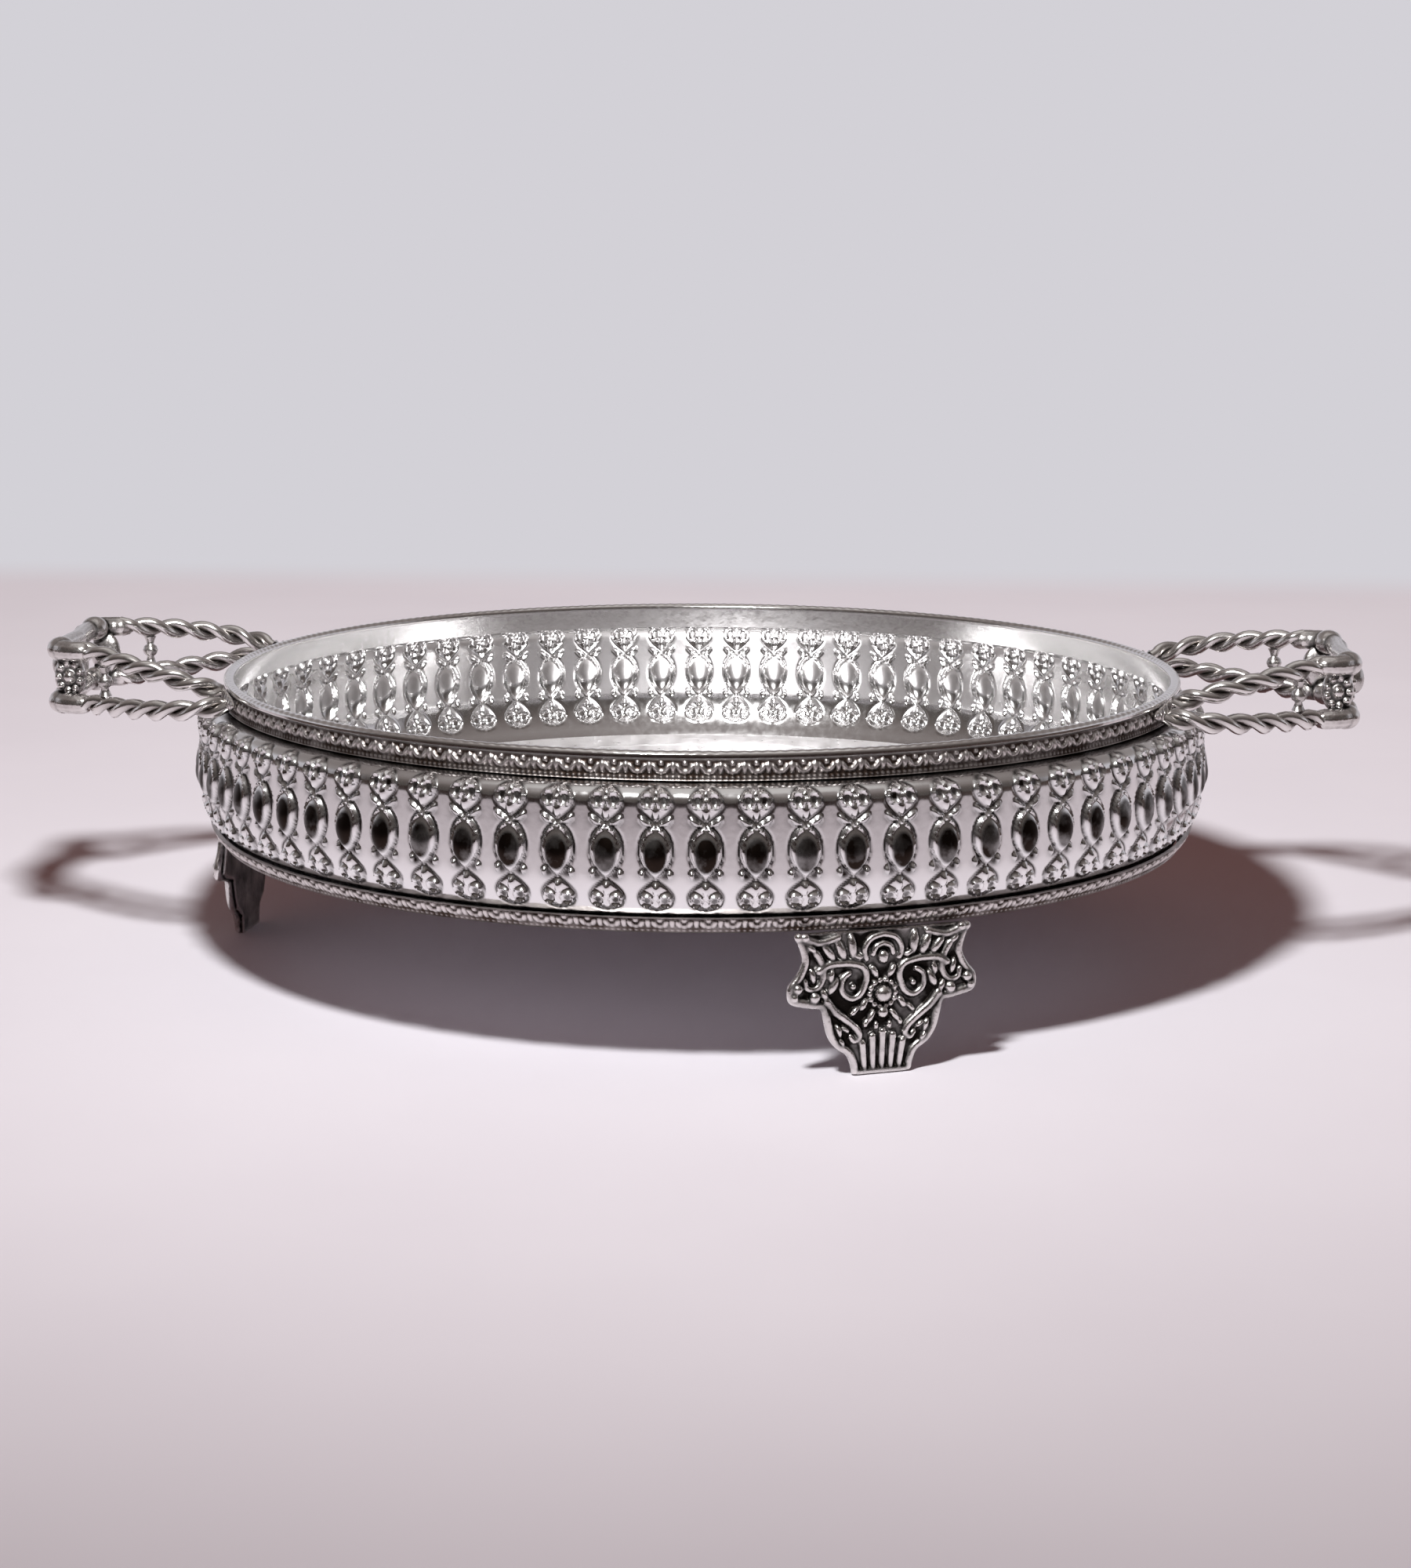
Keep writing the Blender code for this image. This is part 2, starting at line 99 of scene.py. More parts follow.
def ring(x, z, centre, radii, wire):
    """A raised line round an oval."""
    away = (np.hypot((x - centre[0]) / radii[0], (z - centre[1]) / radii[1]) - 1) * min(radii)
    return np.exp(-(away / wire) ** 2)


def lobe(z, middle, half, rise, fall, up, down):
    """Half width at each height of a link that is round or pointed above and below its middle.

    rise and fall are its reaches up and down; an exponent of 0 makes that end round, others point it."""
    t = np.where(z > middle, (z - middle) / rise, (middle - z) / fall)
    t = np.clip(t, 0, 1)
    point = np.where(z > middle, up, down)
    return half * np.where(point == 0, np.sqrt(1 - t ** 2), 1 - t ** np.maximum(point, 1))


ALMOND = {"middle": 61.4, "half": 4.3, "rise": 6.4, "fall": 7.7, "up": 0, "down": 2.0}
UPPER_LINK = {"middle": 73.4, "half": 4.2, "rise": 4.1, "fall": 4.6, "up": 0, "down": 1.6}
LOWER_LINK = {"middle": 48.9, "half": 4.5, "rise": 4.9, "fall": 3.9, "up": 1.8, "down": 0}
ALMOND_LEAN = 0.09
UPPER_EYES = (2.1, 74.3)
LOWER_EYES = (2.35, 48.2)
# A dark tone on the middle of each almond, which stands in for the dark part of a room that it reflects.
ALMOND_SHADE = {"centre": (0, 60.4), "radii": (3.2, 5.1), "power": 1.0}
PROFILE = np.linspace(40, 80, 800)
PROFILE_STEP = 40 / 799


def panel_relief(x, z):
    """Stamped height in millimetres, and how dark each point is painted across x and up z of one panel:
    tarnished hollows and a painted reflection on each almond.
    """
    x = np.abs(x)
    heights, grooves = [], []
    for link, swell in ((ALMOND, 2.2), (UPPER_LINK, 0.55), (LOWER_LINK, 0.6)):
        width = lobe(z, **link)
        inside = np.sqrt(np.clip(width ** 2 - x ** 2, 0, None)) / link["half"]
        lean = 1 + ALMOND_LEAN * (link["middle"] - z) if link is ALMOND else 1.0
        heights.append(swell * inside * lean)
        slope = np.clip(np.gradient(lobe(PROFILE, **link), PROFILE_STEP), -2.5, 2.5)
        steep = np.interp(z, PROFILE, slope)
        away = np.where(width > 0, (x - width) / np.hypot(1, steep), 9)
        grooves.append(np.exp(-((away - 0.1) / 0.38) ** 2))
        if link is ALMOND:
            rim = 0.75 * np.exp(-((away + 0.75) / 0.22) ** 2) * (width > 1.5)
            heights.append(rim + swell * inside * 0.6)
    heights += [
        1.5 * ring(x, z, UPPER_EYES, (1.55, 1.65), 0.5),
        1.35 * dome(x, z, (0.0, 71.5), (0.95, 2.3)),
        1.2 * dome(x, z, (0.0, 76.2), (0.9, 0.8)),
        1.0 * dome(x, z, (2.9, 68.9), (1.75, 0.8), 0.75),
        0.9 * dome(x, z, (1.3, 68.2), (0.8, 0.5), 0.9),
        0.9 * dome(x, z, (3.55, 54.9), (0.75, 1.15)),
        1.4 * ring(x, z, LOWER_EYES, (1.6, 1.55), 0.5),
        1.35 * dome(x, z, (0.0, 50.9), (0.9, 1.9)),
        1.1 * dome(x, z, (0.0, 46.9), (1.3, 1.0)),
    ]
    groove = np.maximum.reduce(grooves)
    crossing = np.exp(-((x - 2.6) / 1.7) ** 2) * (
        np.exp(-((z - 68.9) / 1.7) ** 2) + np.exp(-((z - 54.6) / 1.3) ** 2)
    )
    height = np.maximum.reduce(heights)
    dark = np.maximum(groove, crossing) * (1 - np.clip(height / 0.9, 0, 1) * 0.8)
    for eye in (UPPER_EYES, LOWER_EYES):
        dark = np.maximum(dark, 0.85 * np.clip(2.5 * dome(x, z, eye, (1.0, 1.0), power=1.0), 0, 1))
    # Painted reflection: a dark patch on the middle of each almond.
    dark = np.maximum(dark, np.clip(3.0 * dome(x, z, **ALMOND_SHADE), 0, 1))
    return height - 0.22 * groove, dark


def coordinates(mesh):
    flat = np.empty(3 * len(mesh.vertices), np.float32)
    mesh.vertices.foreach_get("co", flat)
    return flat.reshape(-1, 3).astype(float)


def move_points(mesh, points):
    mesh.vertices.foreach_set("co", points.astype(np.float32).ravel())
    mesh.update()


def note_tarnish_and_painted_shade(mesh, depth):
    """Keeps how dark each point is to be, 0 on the high places and 1 in tarnished hollows and in painted
    shade, for the finish to read.
    """
    layer = mesh.attributes.new("tarnish_and_painted_shade", "FLOAT", "POINT")
    layer.data.foreach_set("value", np.clip(depth, 0, 1).astype(np.float32))


def finished(name, mesh, material, nodes, sharp=50):
    """A piece of the tray: smooth, in its finish, riding on the tray, in place of its plain solids."""
    piece = bpy.data.objects.new(name, mesh)
    bpy.context.scene.collection.objects.link(piece)
    mesh.materials.clear()
    mesh.materials.append(material)
    mesh.shade_smooth()
    mesh.set_sharp_from_angle(angle=math.radians(sharp))
    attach(piece, "root")
    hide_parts(*nodes)
    return piece


def mesh_of(bm, name):
    mesh = bpy.data.meshes.new(name)
    bm.to_mesh(mesh)
    bm.free()
    return mesh


def swept(outline, start, sweep, repeats, steps):
    """A closed solid from a closed (radius, height) outline, swept about the tray's axis.

    One repeat of the pattern is spun in a few steps and then copied round, which is much the quicker."""
    bm = bmesh.new()
    corners = []
    for radius, height in outline:
        corners.append(bm.verts.new((radius * math.cos(start), radius * math.sin(start), height)))
    edges = [bm.edges.new(pair) for pair in zip(corners, corners[1:] + corners[:1])]
    about = {"cent": (0, 0, 0), "axis": (0, 0, 1)}
    part = sweep / repeats
    bmesh.ops.spin(bm, geom=corners + edges, angle=part, steps=steps, use_merge=False, **about)
    first = bm.verts[:] + bm.edges[:] + bm.faces[:]
    bmesh.ops.spin(bm, geom=first, angle=sweep - part, steps=repeats - 1, use_duplicate=True, **about)
    bmesh.ops.remove_doubles(bm, verts=bm.verts, dist=0.004 * MM)
    ends = [edge for edge in bm.edges if edge.is_boundary]
    if ends:
        bmesh.ops.holes_fill(bm, edges=ends, sides=0)
    bmesh.ops.recalc_face_normals(bm, faces=bm.faces)
    return bm


def linear(hex_colour):
    """A hex sRGB colour as linear red, green, blue and alpha."""
    parts = [int(hex_colour[i:i + 2], 16) / 255 for i in (1, 3, 5)]
    return [c / 12.92 if c <= 0.04045 else ((c + 0.055) / 1.055) ** 2.4 for c in parts] + [1.0]


def add_node(tree, kind, sockets=None, **settings):
    """Adds a node, with its settings, and sets or links its input sockets."""
    made = tree.nodes.new(kind)
    for name, value in settings.items():
        setattr(made, name, value)
    for socket, value in (sockets or {}).items():
        if isinstance(value, bpy.types.NodeSocket):
            tree.links.new(value, made.inputs[socket])
        else:
            made.inputs[socket].default_value = value
    return made


TARNISH_CLOUD = 7 * MM
NOISE_LOW, NOISE_HIGH = 0.3, 0.7


def plated_silver(name, face, hollow, gloss, dull, grain, dent):
    """Plated metal: bright where hands and cloths reach, dark in tarnished hollows and in painted shade and
    painted reflection.

    face and hollow are the two colours, gloss and dull their roughness. grain is the size of the polishing
    marks and dent their depth, so that a reflection breaks up as it does on old plate. Real marks are far
    finer than these, which are as coarse as they need to be to show."""
    material = bpy.data.materials.new(name)
    material.use_nodes = True
    tree = material.node_tree
    shader = tree.nodes["Principled BSDF"]
    shader.inputs["Metallic"].default_value = 1.0
    place = add_node(tree, "ShaderNodeTexCoord").outputs["Object"]
    tarnish_and_painted_shade = add_node(tree, "ShaderNodeAttribute", attribute_name="tarnish_and_painted_shade").outputs["Fac"]
    cloud = add_node(tree, "ShaderNodeTexNoise", {"Vector": place, "Scale": 1 / TARNISH_CLOUD, "Detail": 6.0})
    patchy = add_node(
        tree, "ShaderNodeMapRange", {0: cloud.outputs["Fac"], 1: NOISE_LOW, 2: NOISE_HIGH, 3: 0.7, 4: 1.25}
    ).outputs[0]
    # Tarnished hollows and, on the wall, painted shade and a painted reflection darken the plate here.
    patchy_tarnish_and_shade = add_node(
        tree, "ShaderNodeMath", {0: tarnish_and_painted_shade, 1: patchy}, operation="MULTIPLY", use_clamp=True
    ).outputs[0]
    tone = add_node(
        tree, "ShaderNodeMix", {"Factor": patchy_tarnish_and_shade, 6: linear(face), 7: linear(hollow)}, data_type="RGBA"
    )
    tree.links.new(tone.outputs[2], shader.inputs["Base Color"])
    fine = add_node(tree, "ShaderNodeTexNoise", {"Vector": place, "Scale": 1 / grain, "Detail": 3.0})
    worn = add_node(
        tree, "ShaderNodeMapRange",
        {0: fine.outputs["Fac"], 1: NOISE_LOW, 2: NOISE_HIGH, 3: gloss * 0.8, 4: gloss * 1.3},
    ).outputs[0]
    rough = add_node(tree, "ShaderNodeMix", {0: patchy_tarnish_and_shade, 2: worn, 3: dull})
    tree.links.new(rough.outputs[0], shader.inputs["Roughness"])
    bump = add_node(
        tree, "ShaderNodeBump", {"Height": fine.outputs["Fac"], "Strength": 1.0, "Distance": dent}
    )
    tree.links.new(bump.outputs["Normal"], shader.inputs["Normal"])
    return material


# Bright plate on the high places of the stamping, tarnished dark brown deep in it; the same dark brown makes
# the painted shade under the borders and the painted reflection on each almond.
stamped_silver = plated_silver(
    "stamped silver plate", "#EDECEC", "#2B231F", 0.14, 0.30, 1.8 * MM, 0.018 * MM
)


RELIEF_FOOT = 44.2
RELIEF_TOP = 78.0
# Heights in millimetres above and below which the wall gets painted shade under the borders.
BORDER_SHADOW_FOOT = 44.4
BORDER_SHADOW_TOP = 77.4


def press(mesh, outside):
    """Pushes the stamped panels out of a plain length of wall and notes its tarnished hollows, the painted
    reflection on each almond and the painted shade under the borders.
    """
    points = coordinates(mesh)
    radius = np.hypot(points[:, 0], points[:, 1])
    turn = np.arctan2(points[:, 1], points[:, 0]) - PANEL_TURN
    share = turn / FULL_TURN * PANELS
    x = (share - np.round(share)) * PANEL_WIDTH
    z = points[:, 2] / MM
    height, dark = panel_relief(x, z)
    reach = np.clip((z - RELIEF_FOOT) / 0.6, 0, 1) * np.clip((RELIEF_TOP - z) / 0.8, 0, 1)
    reach[radius < NECK - 3 * MM] = 0
    lift = height * reach * MM
    heights = np.array([height for _, height in outside])[::-1]
    radii = np.array([width for width, _ in outside])[::-1]
    slope = np.gradient(radii, heights)
    lean = np.interp(points[:, 2], heights, -slope / np.hypot(1, slope))
    points[:, :2] *= (1 + lift * np.sqrt(1 - lean ** 2) / radius)[:, None]
    points[:, 2] += lift * lean * 0.6
    move_points(mesh, points)
    outer = radius > np.interp(points[:, 2], heights, radii) - SHEET / 2
    # Painted shade: the wall is painted dark where it runs in under the borders.
    above, below = (z - BORDER_SHADOW_TOP) / 0.6, (BORDER_SHADOW_FOOT - z) / 0.6
    painted_shade_under_border = np.clip(above, 0, 1) + np.clip(below, 0, 1)
    note_tarnish_and_painted_shade(mesh, np.where(outer, dark * reach + painted_shade_under_border, 0.3 * dark * reach))


def build_wall():
    outside = plain_wall()
    inside = [(radius - SHEET, height) for radius, height in outside[:-1]]
    seat = [(SEAT, BASE), (SEAT, BASE + SHEET), (outside[-1][0] - SHEET, BASE + SHEET)]
    outline = outside + seat + inside[::-1]
    sweep = FULL_TURN / LENGTHS
    for i in range(LENGTHS):
        start = PANEL_TURN + math.pi / PANELS + i * sweep
        mesh = mesh_of(swept(outline, start, sweep, PANELS // LENGTHS, COLUMNS), "gallery_wall")
        press(mesh, outside)
        finished(f"gallery_wall_length_{i + 1}", mesh, stamped_silver, ["gallery_wall"])


build_wall()


# ---------------------------------------------------------------------------------------------------
# Lip. A half-round drawn wire, polished bright, soldered over the top edges of the wall and border.
# Fine notches run along its crown.
LIP_NOTCHES = 288
lip_low, lip_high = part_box("rim_lip")
LIP_OUTER = lip_high.x
LIP_INNER = NECK - 1.6 * MM
NOTCH_DEPTH = 0.15 * MM
# The brightest plate on the tray, as handling keeps it.
polished_silver = plated_silver(
    "polished silver plate", "#F1EFEE", "#8A817B", 0.10, 0.25, 2.5 * MM, 0.008 * MM
)


def half_round(inner, outer, low, high, count):
    """A flat-bottomed round-topped outline."""
    middle, half = (inner + outer) / 2, (outer - inner) / 2
    crown = []
    for i in range(count + 1):
        angle = math.pi * i / count
        rise = 0.35 + 0.65 * math.sin(angle)
        crown.append((middle + half * math.cos(angle), low + (high - low) * rise))
    return [(outer, low)] + crown + [(inner, low)]


def build_lip():
    outline = half_round(LIP_INNER, LIP_OUTER, lip_low.z, lip_high.z, 10)
    mesh = mesh_of(swept(outline, 0, FULL_TURN, 72, 16), "rim_lip")
    points = coordinates(mesh)
    notch = 0.5 - 0.5 * np.cos(np.arctan2(points[:, 1], points[:, 0]) * LIP_NOTCHES)
    crown = np.clip((points[:, 2] - lip_low.z) / (lip_high.z - lip_low.z), 0, 1)
    points[:, 2] -= NOTCH_DEPTH * notch * crown ** 2
    move_points(mesh, points)
    note_tarnish_and_painted_shade(mesh, notch * crown * 0.3)
    finished("rim_lip_wire", mesh, polished_silver, ["rim_lip"])


build_lip()


# ---------------------------------------------------------------------------------------------------
# Borders. Die-struck strips soldered round the outside of the wall: threes of leaves with beads between
# them, over a row of seed beads. The plate has tarnished dark brown in the hollows.
BORDER_LEAVES = 144
BORDER_STEPS = 16
BORDER_ROWS = 18
LEAF_PITCH = FULL_TURN * 141 / BORDER_LEAVES
STRIP = 0.9 * MM
# Duller plate than the wall's, since cloths can't reach into such fine work.
struck_silver = plated_silver(
    "struck silver plate", "#E2DCDA", "#463A34", 0.30, 0.5, 1.2 * MM, 0.03 * MM
)


def border_relief(x, z, tall):
    """Struck height in millimetres at x along one leaf's pitch and z above the strip's lower edge."""
    x = np.abs(x)
    side = LEAF_PITCH / 2
    seeds = 0.5 + 0.5 * np.cos(x * FULL_TURN * 4 / LEAF_PITCH)
    shapes = [
        0.85 * dome(x, z, (0, 0.60 * tall), (0.8, 0.32 * tall)),
        0.8 * dome(x, z, (1.6, 0.56 * tall), (0.75, 0.30 * tall), 0.5),
        0.7 * dome(x, z, (side, 0.80 * tall), (0.8, 0.7)),
        0.6 * dome(x, z, (side, 0.40 * tall), (0.7, 0.8)),
        0.5 * seeds * np.exp(-((z - 0.13 * tall) / (0.08 * tall)) ** 2),
        0.5 * np.exp(-((z - tall) / 0.3) ** 2),
        0.4 * np.exp(-(z / 0.25) ** 2),
    ]
    return np.maximum.reduce(shapes)


def build_border(name, top, bottom, node):
    """A struck strip between two (radius, height) edges."""
    face = []
    for i in range(BORDER_ROWS + 1):
        t = i / BORDER_ROWS
        face.append((top[0] + (bottom[0] - top[0]) * t, top[1] + (bottom[1] - top[1]) * t))
    back = [(radius - STRIP, height) for radius, height in reversed(face)]
    mesh = mesh_of(swept(face + back, 0, FULL_TURN, BORDER_LEAVES, BORDER_STEPS), name)
    points = coordinates(mesh)
    radius = np.hypot(points[:, 0], points[:, 1])
    share = np.arctan2(points[:, 1], points[:, 0]) / FULL_TURN * BORDER_LEAVES
    tall = (top[1] - bottom[1]) / MM
    relief = border_relief((share - np.round(share)) * LEAF_PITCH, (points[:, 2] - bottom[1]) / MM, tall)
    heights = [height for _, height in reversed(face)]
    front = radius > np.interp(points[:, 2], heights, [width for width, _ in reversed(face)]) - 0.4 * MM
    points[:, :2] *= (1 + np.where(front, relief * MM, 0) / radius)[:, None]
    move_points(mesh, points)
    note_tarnish_and_painted_shade(mesh, 1.1 - np.clip(relief / 0.75, 0, 1))
    finished(name, mesh, struck_silver, [node])


upper_low, upper_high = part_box("upper_border")
lower_low, lower_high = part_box("lower_border")
upper_edges = ((139.6 * MM, upper_high.z), (139.8 * MM, upper_low.z))
lower_edges = ((144.2 * MM, lower_high.z - 0.6 * MM), (141.4 * MM, lower_low.z))
build_border("upper_border_strip", *upper_edges, "upper_border")
build_border("lower_border_strip", *lower_edges, "lower_border")


# ---------------------------------------------------------------------------------------------------
# Floor. A flat sheet disc, turned on the lathe to a soft satin, with one rolled ring near its edge
# that stiffens it. It lies on the wall's turned-in seat.
FLOOR_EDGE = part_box("floor_plate")[1].x
FLOOR_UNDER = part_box("floor_plate")[0].z
FLOOR_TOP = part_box("floor_plate")[1].z
FLOOR_BEAD = 118.0 * MM
FLOOR_BEAD_HALF = 1.2 * MM
FLOOR_BEAD_RISE = 0.35 * MM
# Satin plate, which shows the wall only as a soft blur.
satin_silver = plated_silver(
    "satin silver plate", "#F4F2F3", "#8A817B", 0.34, 0.4, 3.0 * MM, 0.01 * MM
)


def lathe(profile, middle, steps, axis=(0, 0, 1)):
    """A solid of revolution from a chain of points that starts and ends on its axis."""
    bm = bmesh.new()
    rim = [bm.verts.new(point) for point in profile]
    edges = [bm.edges.new(pair) for pair in zip(rim, rim[1:])]
    bmesh.ops.spin(bm, geom=rim + edges, cent=middle, axis=axis, angle=FULL_TURN, steps=steps, use_merge=True)
    bmesh.ops.remove_doubles(bm, verts=bm.verts, dist=0.004 * MM)
    bmesh.ops.recalc_face_normals(bm, faces=bm.faces)
    return bm


def build_floor():
    face = [(0, 0, FLOOR_UNDER), (FLOOR_EDGE, 0, FLOOR_UNDER), (FLOOR_EDGE, 0, FLOOR_TOP)]
    for i in range(9):
        angle = math.pi * i / 8
        across, rise = FLOOR_BEAD_HALF * math.cos(angle), FLOOR_BEAD_RISE * math.sin(angle)
        face.append((FLOOR_BEAD + across, 0, FLOOR_TOP + rise))
    face += [(radius * MM, 0, FLOOR_TOP) for radius in (100, 75, 50, 25, 0)]
    mesh = mesh_of(lathe(face, (0, 0, 0), 192), "floor_sheet")
    note_tarnish_and_painted_shade(mesh, np.zeros(len(mesh.vertices)))
    finished("floor_sheet", mesh, satin_silver, ["floor_plate"], sharp=30)


build_floor()


# ---------------------------------------------------------------------------------------------------
# Feet. Sand-cast scroll feet, silver-plated, dark in the hollows: a palmette and leaves under the
# base, two curled ears, scrolls round two dark hollows with a small jewel between, and a ridged toe.
FOOT_ANGLES = {"front": -67.8, "back": 52.2, "left": 172.2}
FOOT_RADIUS = 141.8 * MM
FOOT_TOP = BASE - 0.3 * MM
CAST_GRAIN = 0.33 * MM
FOOT_FACE = -1.1 * MM
LUG_HALF = 8.0 * MM
LUG_TIP = 120.5 * MM
LUG_THICK = 2.6 * MM
HOLLOW_PASSES = 14
HOLLOW_DEPTH = 0.16 * MM
JEWEL_HEIGHT = 21.6
JEWEL_RING = 3.6
# The shapes below are for one half of the foot, in millimetres across from its middle and up from its sole.
FOOT_OUTLINE = [
    (0, FOOT_TOP / MM), (23.4, FOOT_TOP / MM), (21.4, 31.8), (23.2, 26.4), (24.6, 22.2), (22.0, 20.4),
    (15.8, 18.6), (14.4, 13.0), (12.6, 8.7), (8.4, 5.8), (7.6, 0), (0, 0),
]
# Each scroll's line, its thickness at the start and at the end, and how far it stands proud.
FOOT_SCROLLS = (
    ([(12.5, 37.4), (17.5, 36.2), (21.4, 37.4), (23.4, 38.0)], 1.0, 1.3, 0.2),
    ([(23.0, 37.2), (21.8, 34.0), (21.4, 31.0), (23.0, 27.4), (25.2, 24.6), (25.0, 21.6),
      (22.0, 20.6)], 1.0, 1.3, 0.0),
    ([(22.0, 20.6), (19.4, 20.0), (16.2, 19.2), (15.2, 15.2), (14.2, 11.6), (12.2, 8.6),
      (9.2, 6.4), (7.8, 3.4), (7.4, 1.2)], 1.3, 1.1, 0.0),
    ([(15.6, 20.6), (13.6, 18.0), (10.4, 15.4), (7.4, 12.8), (6.4, 10.6), (7.8, 9.4),
      (8.8, 10.6)], 1.3, 0.8, 0.4),
    ([(17.8, 28.8), (15.4, 30.2), (12.4, 30.4), (9.0, 30.2), (5.6, 29.0), (4.6, 26.0),
      (6.0, 22.2), (8.6, 20.8), (11.2, 22.6), (11.4, 26.0), (9.4, 27.6)], 1.2, 0.8, 0.4),
    ([(18.6, 33.6), (17.0, 30.6), (16.6, 27.0), (18.4, 24.2), (21.0, 24.4), (21.6, 26.4)], 1.1, 0.8, 0.3),
    ([(0, 37.4), (3.4, 36.4), (5.2, 33.6), (4.6, 31.0)], 0.9, 0.8, 0.3),
    ([(0, 35.0), (2.0, 34.2), (2.8, 32.2)], 0.8, 0.7, 0.5),
)
# Each leaf's place, its lean in radians, and its half length and half width.
FOOT_LEAVES = (
    (8.6, 34.6, 0.12, 3.4, 1.3), (11.8, 34.0, 0.4, 3.2, 1.3), (15.2, 33.6, 0.65, 3.0, 1.2),
    (13.8, 24.6, -0.5, 2.6, 1.2), (3.4, 15.6, -0.6, 2.2, 0.9), (12.2, 12.4, 0.3, 1.9, 0.8),
    (2.4, 27.6, 0.5, 2.0, 1.0), (5.4, 18.9, -0.5, 1.9, 1.0), (7.9, 17.4, -0.7, 1.7, 0.8),
    (4.8, 13.9, -0.3, 1.3, 0.8), (1.9, 13.2, 0.0, 1.3, 0.8), (16.4, 22.4, 0.5, 1.9, 1.0),
    (19.6, 27.6, 0.2, 2.2, 0.9), (14.4, 27.4, -0.2, 1.9, 0.9), (7.0, 31.9, 1.2, 1.5, 0.8),
    (19.9, 34.9, 0.8, 1.6, 0.9), (10.4, 12.7, 0.9, 1.5, 0.7), (11.4, 9.4, 0.6, 1.4, 0.7),
)
# Each bead's place and radius, then each toe ridge's place and its two ends.
FOOT_BEADS = ((19.0, 21.9, 1.5), (23.6, 24.4, 1.35), (24.6, 22.2, 1.1), (21.8, 38.0, 1.2), (8.4, 24.0, 0.9))
TOE_RIDGES = ((0.0, 1.0, 11.5), (2.4, 0.9, 10.4), (4.7, 0.9, 8.6))
# A slightly rough cast skin under the plate: bright on the crests and almost black in the hollows.
cast_silver = plated_silver(
    "cast silver plate", "#DDD9D7", "#1C1917", 0.2, 0.45, 0.9 * MM, 0.09 * MM
)


def bar(bm, points, radii):
    """A round bar through points, with its own radius at each, as overlapping balls and cones."""
    for point, radius in zip(points, radii):
        bmesh.ops.create_icosphere(bm, subdivisions=2, radius=radius, matrix=Matrix.Translation(point))
    for i in range(len(points) - 1):
        start, end = Vector(points[i]), Vector(points[i + 1])
        aim = (end - start).to_track_quat("Z", "Y").to_matrix().to_4x4()
        place = Matrix.Translation((start + end) / 2) @ aim
        length = (end - start).length
        bmesh.ops.create_cone(
            bm, cap_ends=True, segments=12, radius1=radii[i], radius2=radii[i + 1], depth=length, matrix=place
        )


def egg(bm, centre, radii, lean=0.0):
    """A flattened ball, leaned over in the plane of the casting's face."""
    shape = Matrix.Translation(centre) @ Matrix.Rotation(lean, 4, "Y") @ Matrix.Diagonal((*radii, 1))
    bmesh.ops.create_icosphere(bm, subdivisions=3, radius=1.0, matrix=shape)


def smooth_line(points, steps=4):
    """Points closer together along a smooth curve through the ones given."""
    spots = [Vector(point) for point in points]
    line = []
    for i in range(len(spots) - 1):
        before, after = spots[max(i - 1, 0)], spots[min(i + 2, len(spots) - 1)]
        first = spots[i] + (spots[i + 1] - before) / 6
        last = spots[i + 1] - (after - spots[i]) / 6
        line += interpolate_bezier(spots[i], first, last, spots[i + 1], steps + 1)[:-1]
    return line + [spots[-1]]


def scroll_wire(bm, points, thick, thin, lift=0.0):
    """A raised wire on the foot's face through (x, z) points in millimetres, tapering from thick to thin."""
    line = smooth_line([(x * MM, FOOT_FACE - lift * MM, z * MM) for x, z in points])
    last = len(line) - 1
    bar(bm, line, [(thick + (thin - thick) * i / last) * MM for i in range(last + 1)])


def cast(bm, name, grain, darkness):
    """Melts overlapping shapes into one skin, as a mould would give, and notes its hollows.

    A hollow is where smoothing the skin lifts it. darkness is how dark its flat places are."""
    rough = bpy.data.objects.new(name + "_pattern", mesh_of(bm, name + "_pattern"))
    bpy.context.scene.collection.objects.link(rough)
    remesh = rough.modifiers.new("melt", "REMESH")
    remesh.mode = "VOXEL"
    remesh.voxel_size = grain
    graph = bpy.context.evaluated_depsgraph_get()
    skin = bpy.data.meshes.new_from_object(rough.evaluated_get(graph))
    bpy.data.objects.remove(rough, do_unlink=True)
    work = bmesh.new()
    work.from_mesh(skin)
    ease = {"factor": 0.5, "use_axis_x": True, "use_axis_y": True, "use_axis_z": True}
    bmesh.ops.smooth_vert(work, verts=work.verts, **ease)
    sharp_points = np.array([v.co for v in work.verts])
    normals = np.array([v.normal for v in work.verts])
    work.to_mesh(skin)
    for _ in range(HOLLOW_PASSES):
        bmesh.ops.smooth_vert(work, verts=work.verts, **ease)
    softened = np.array([v.co for v in work.verts])
    work.free()
    sunk = ((softened - sharp_points) * normals).sum(axis=1)
    note_tarnish_and_painted_shade(skin, darkness + sunk / HOLLOW_DEPTH)
    return skin


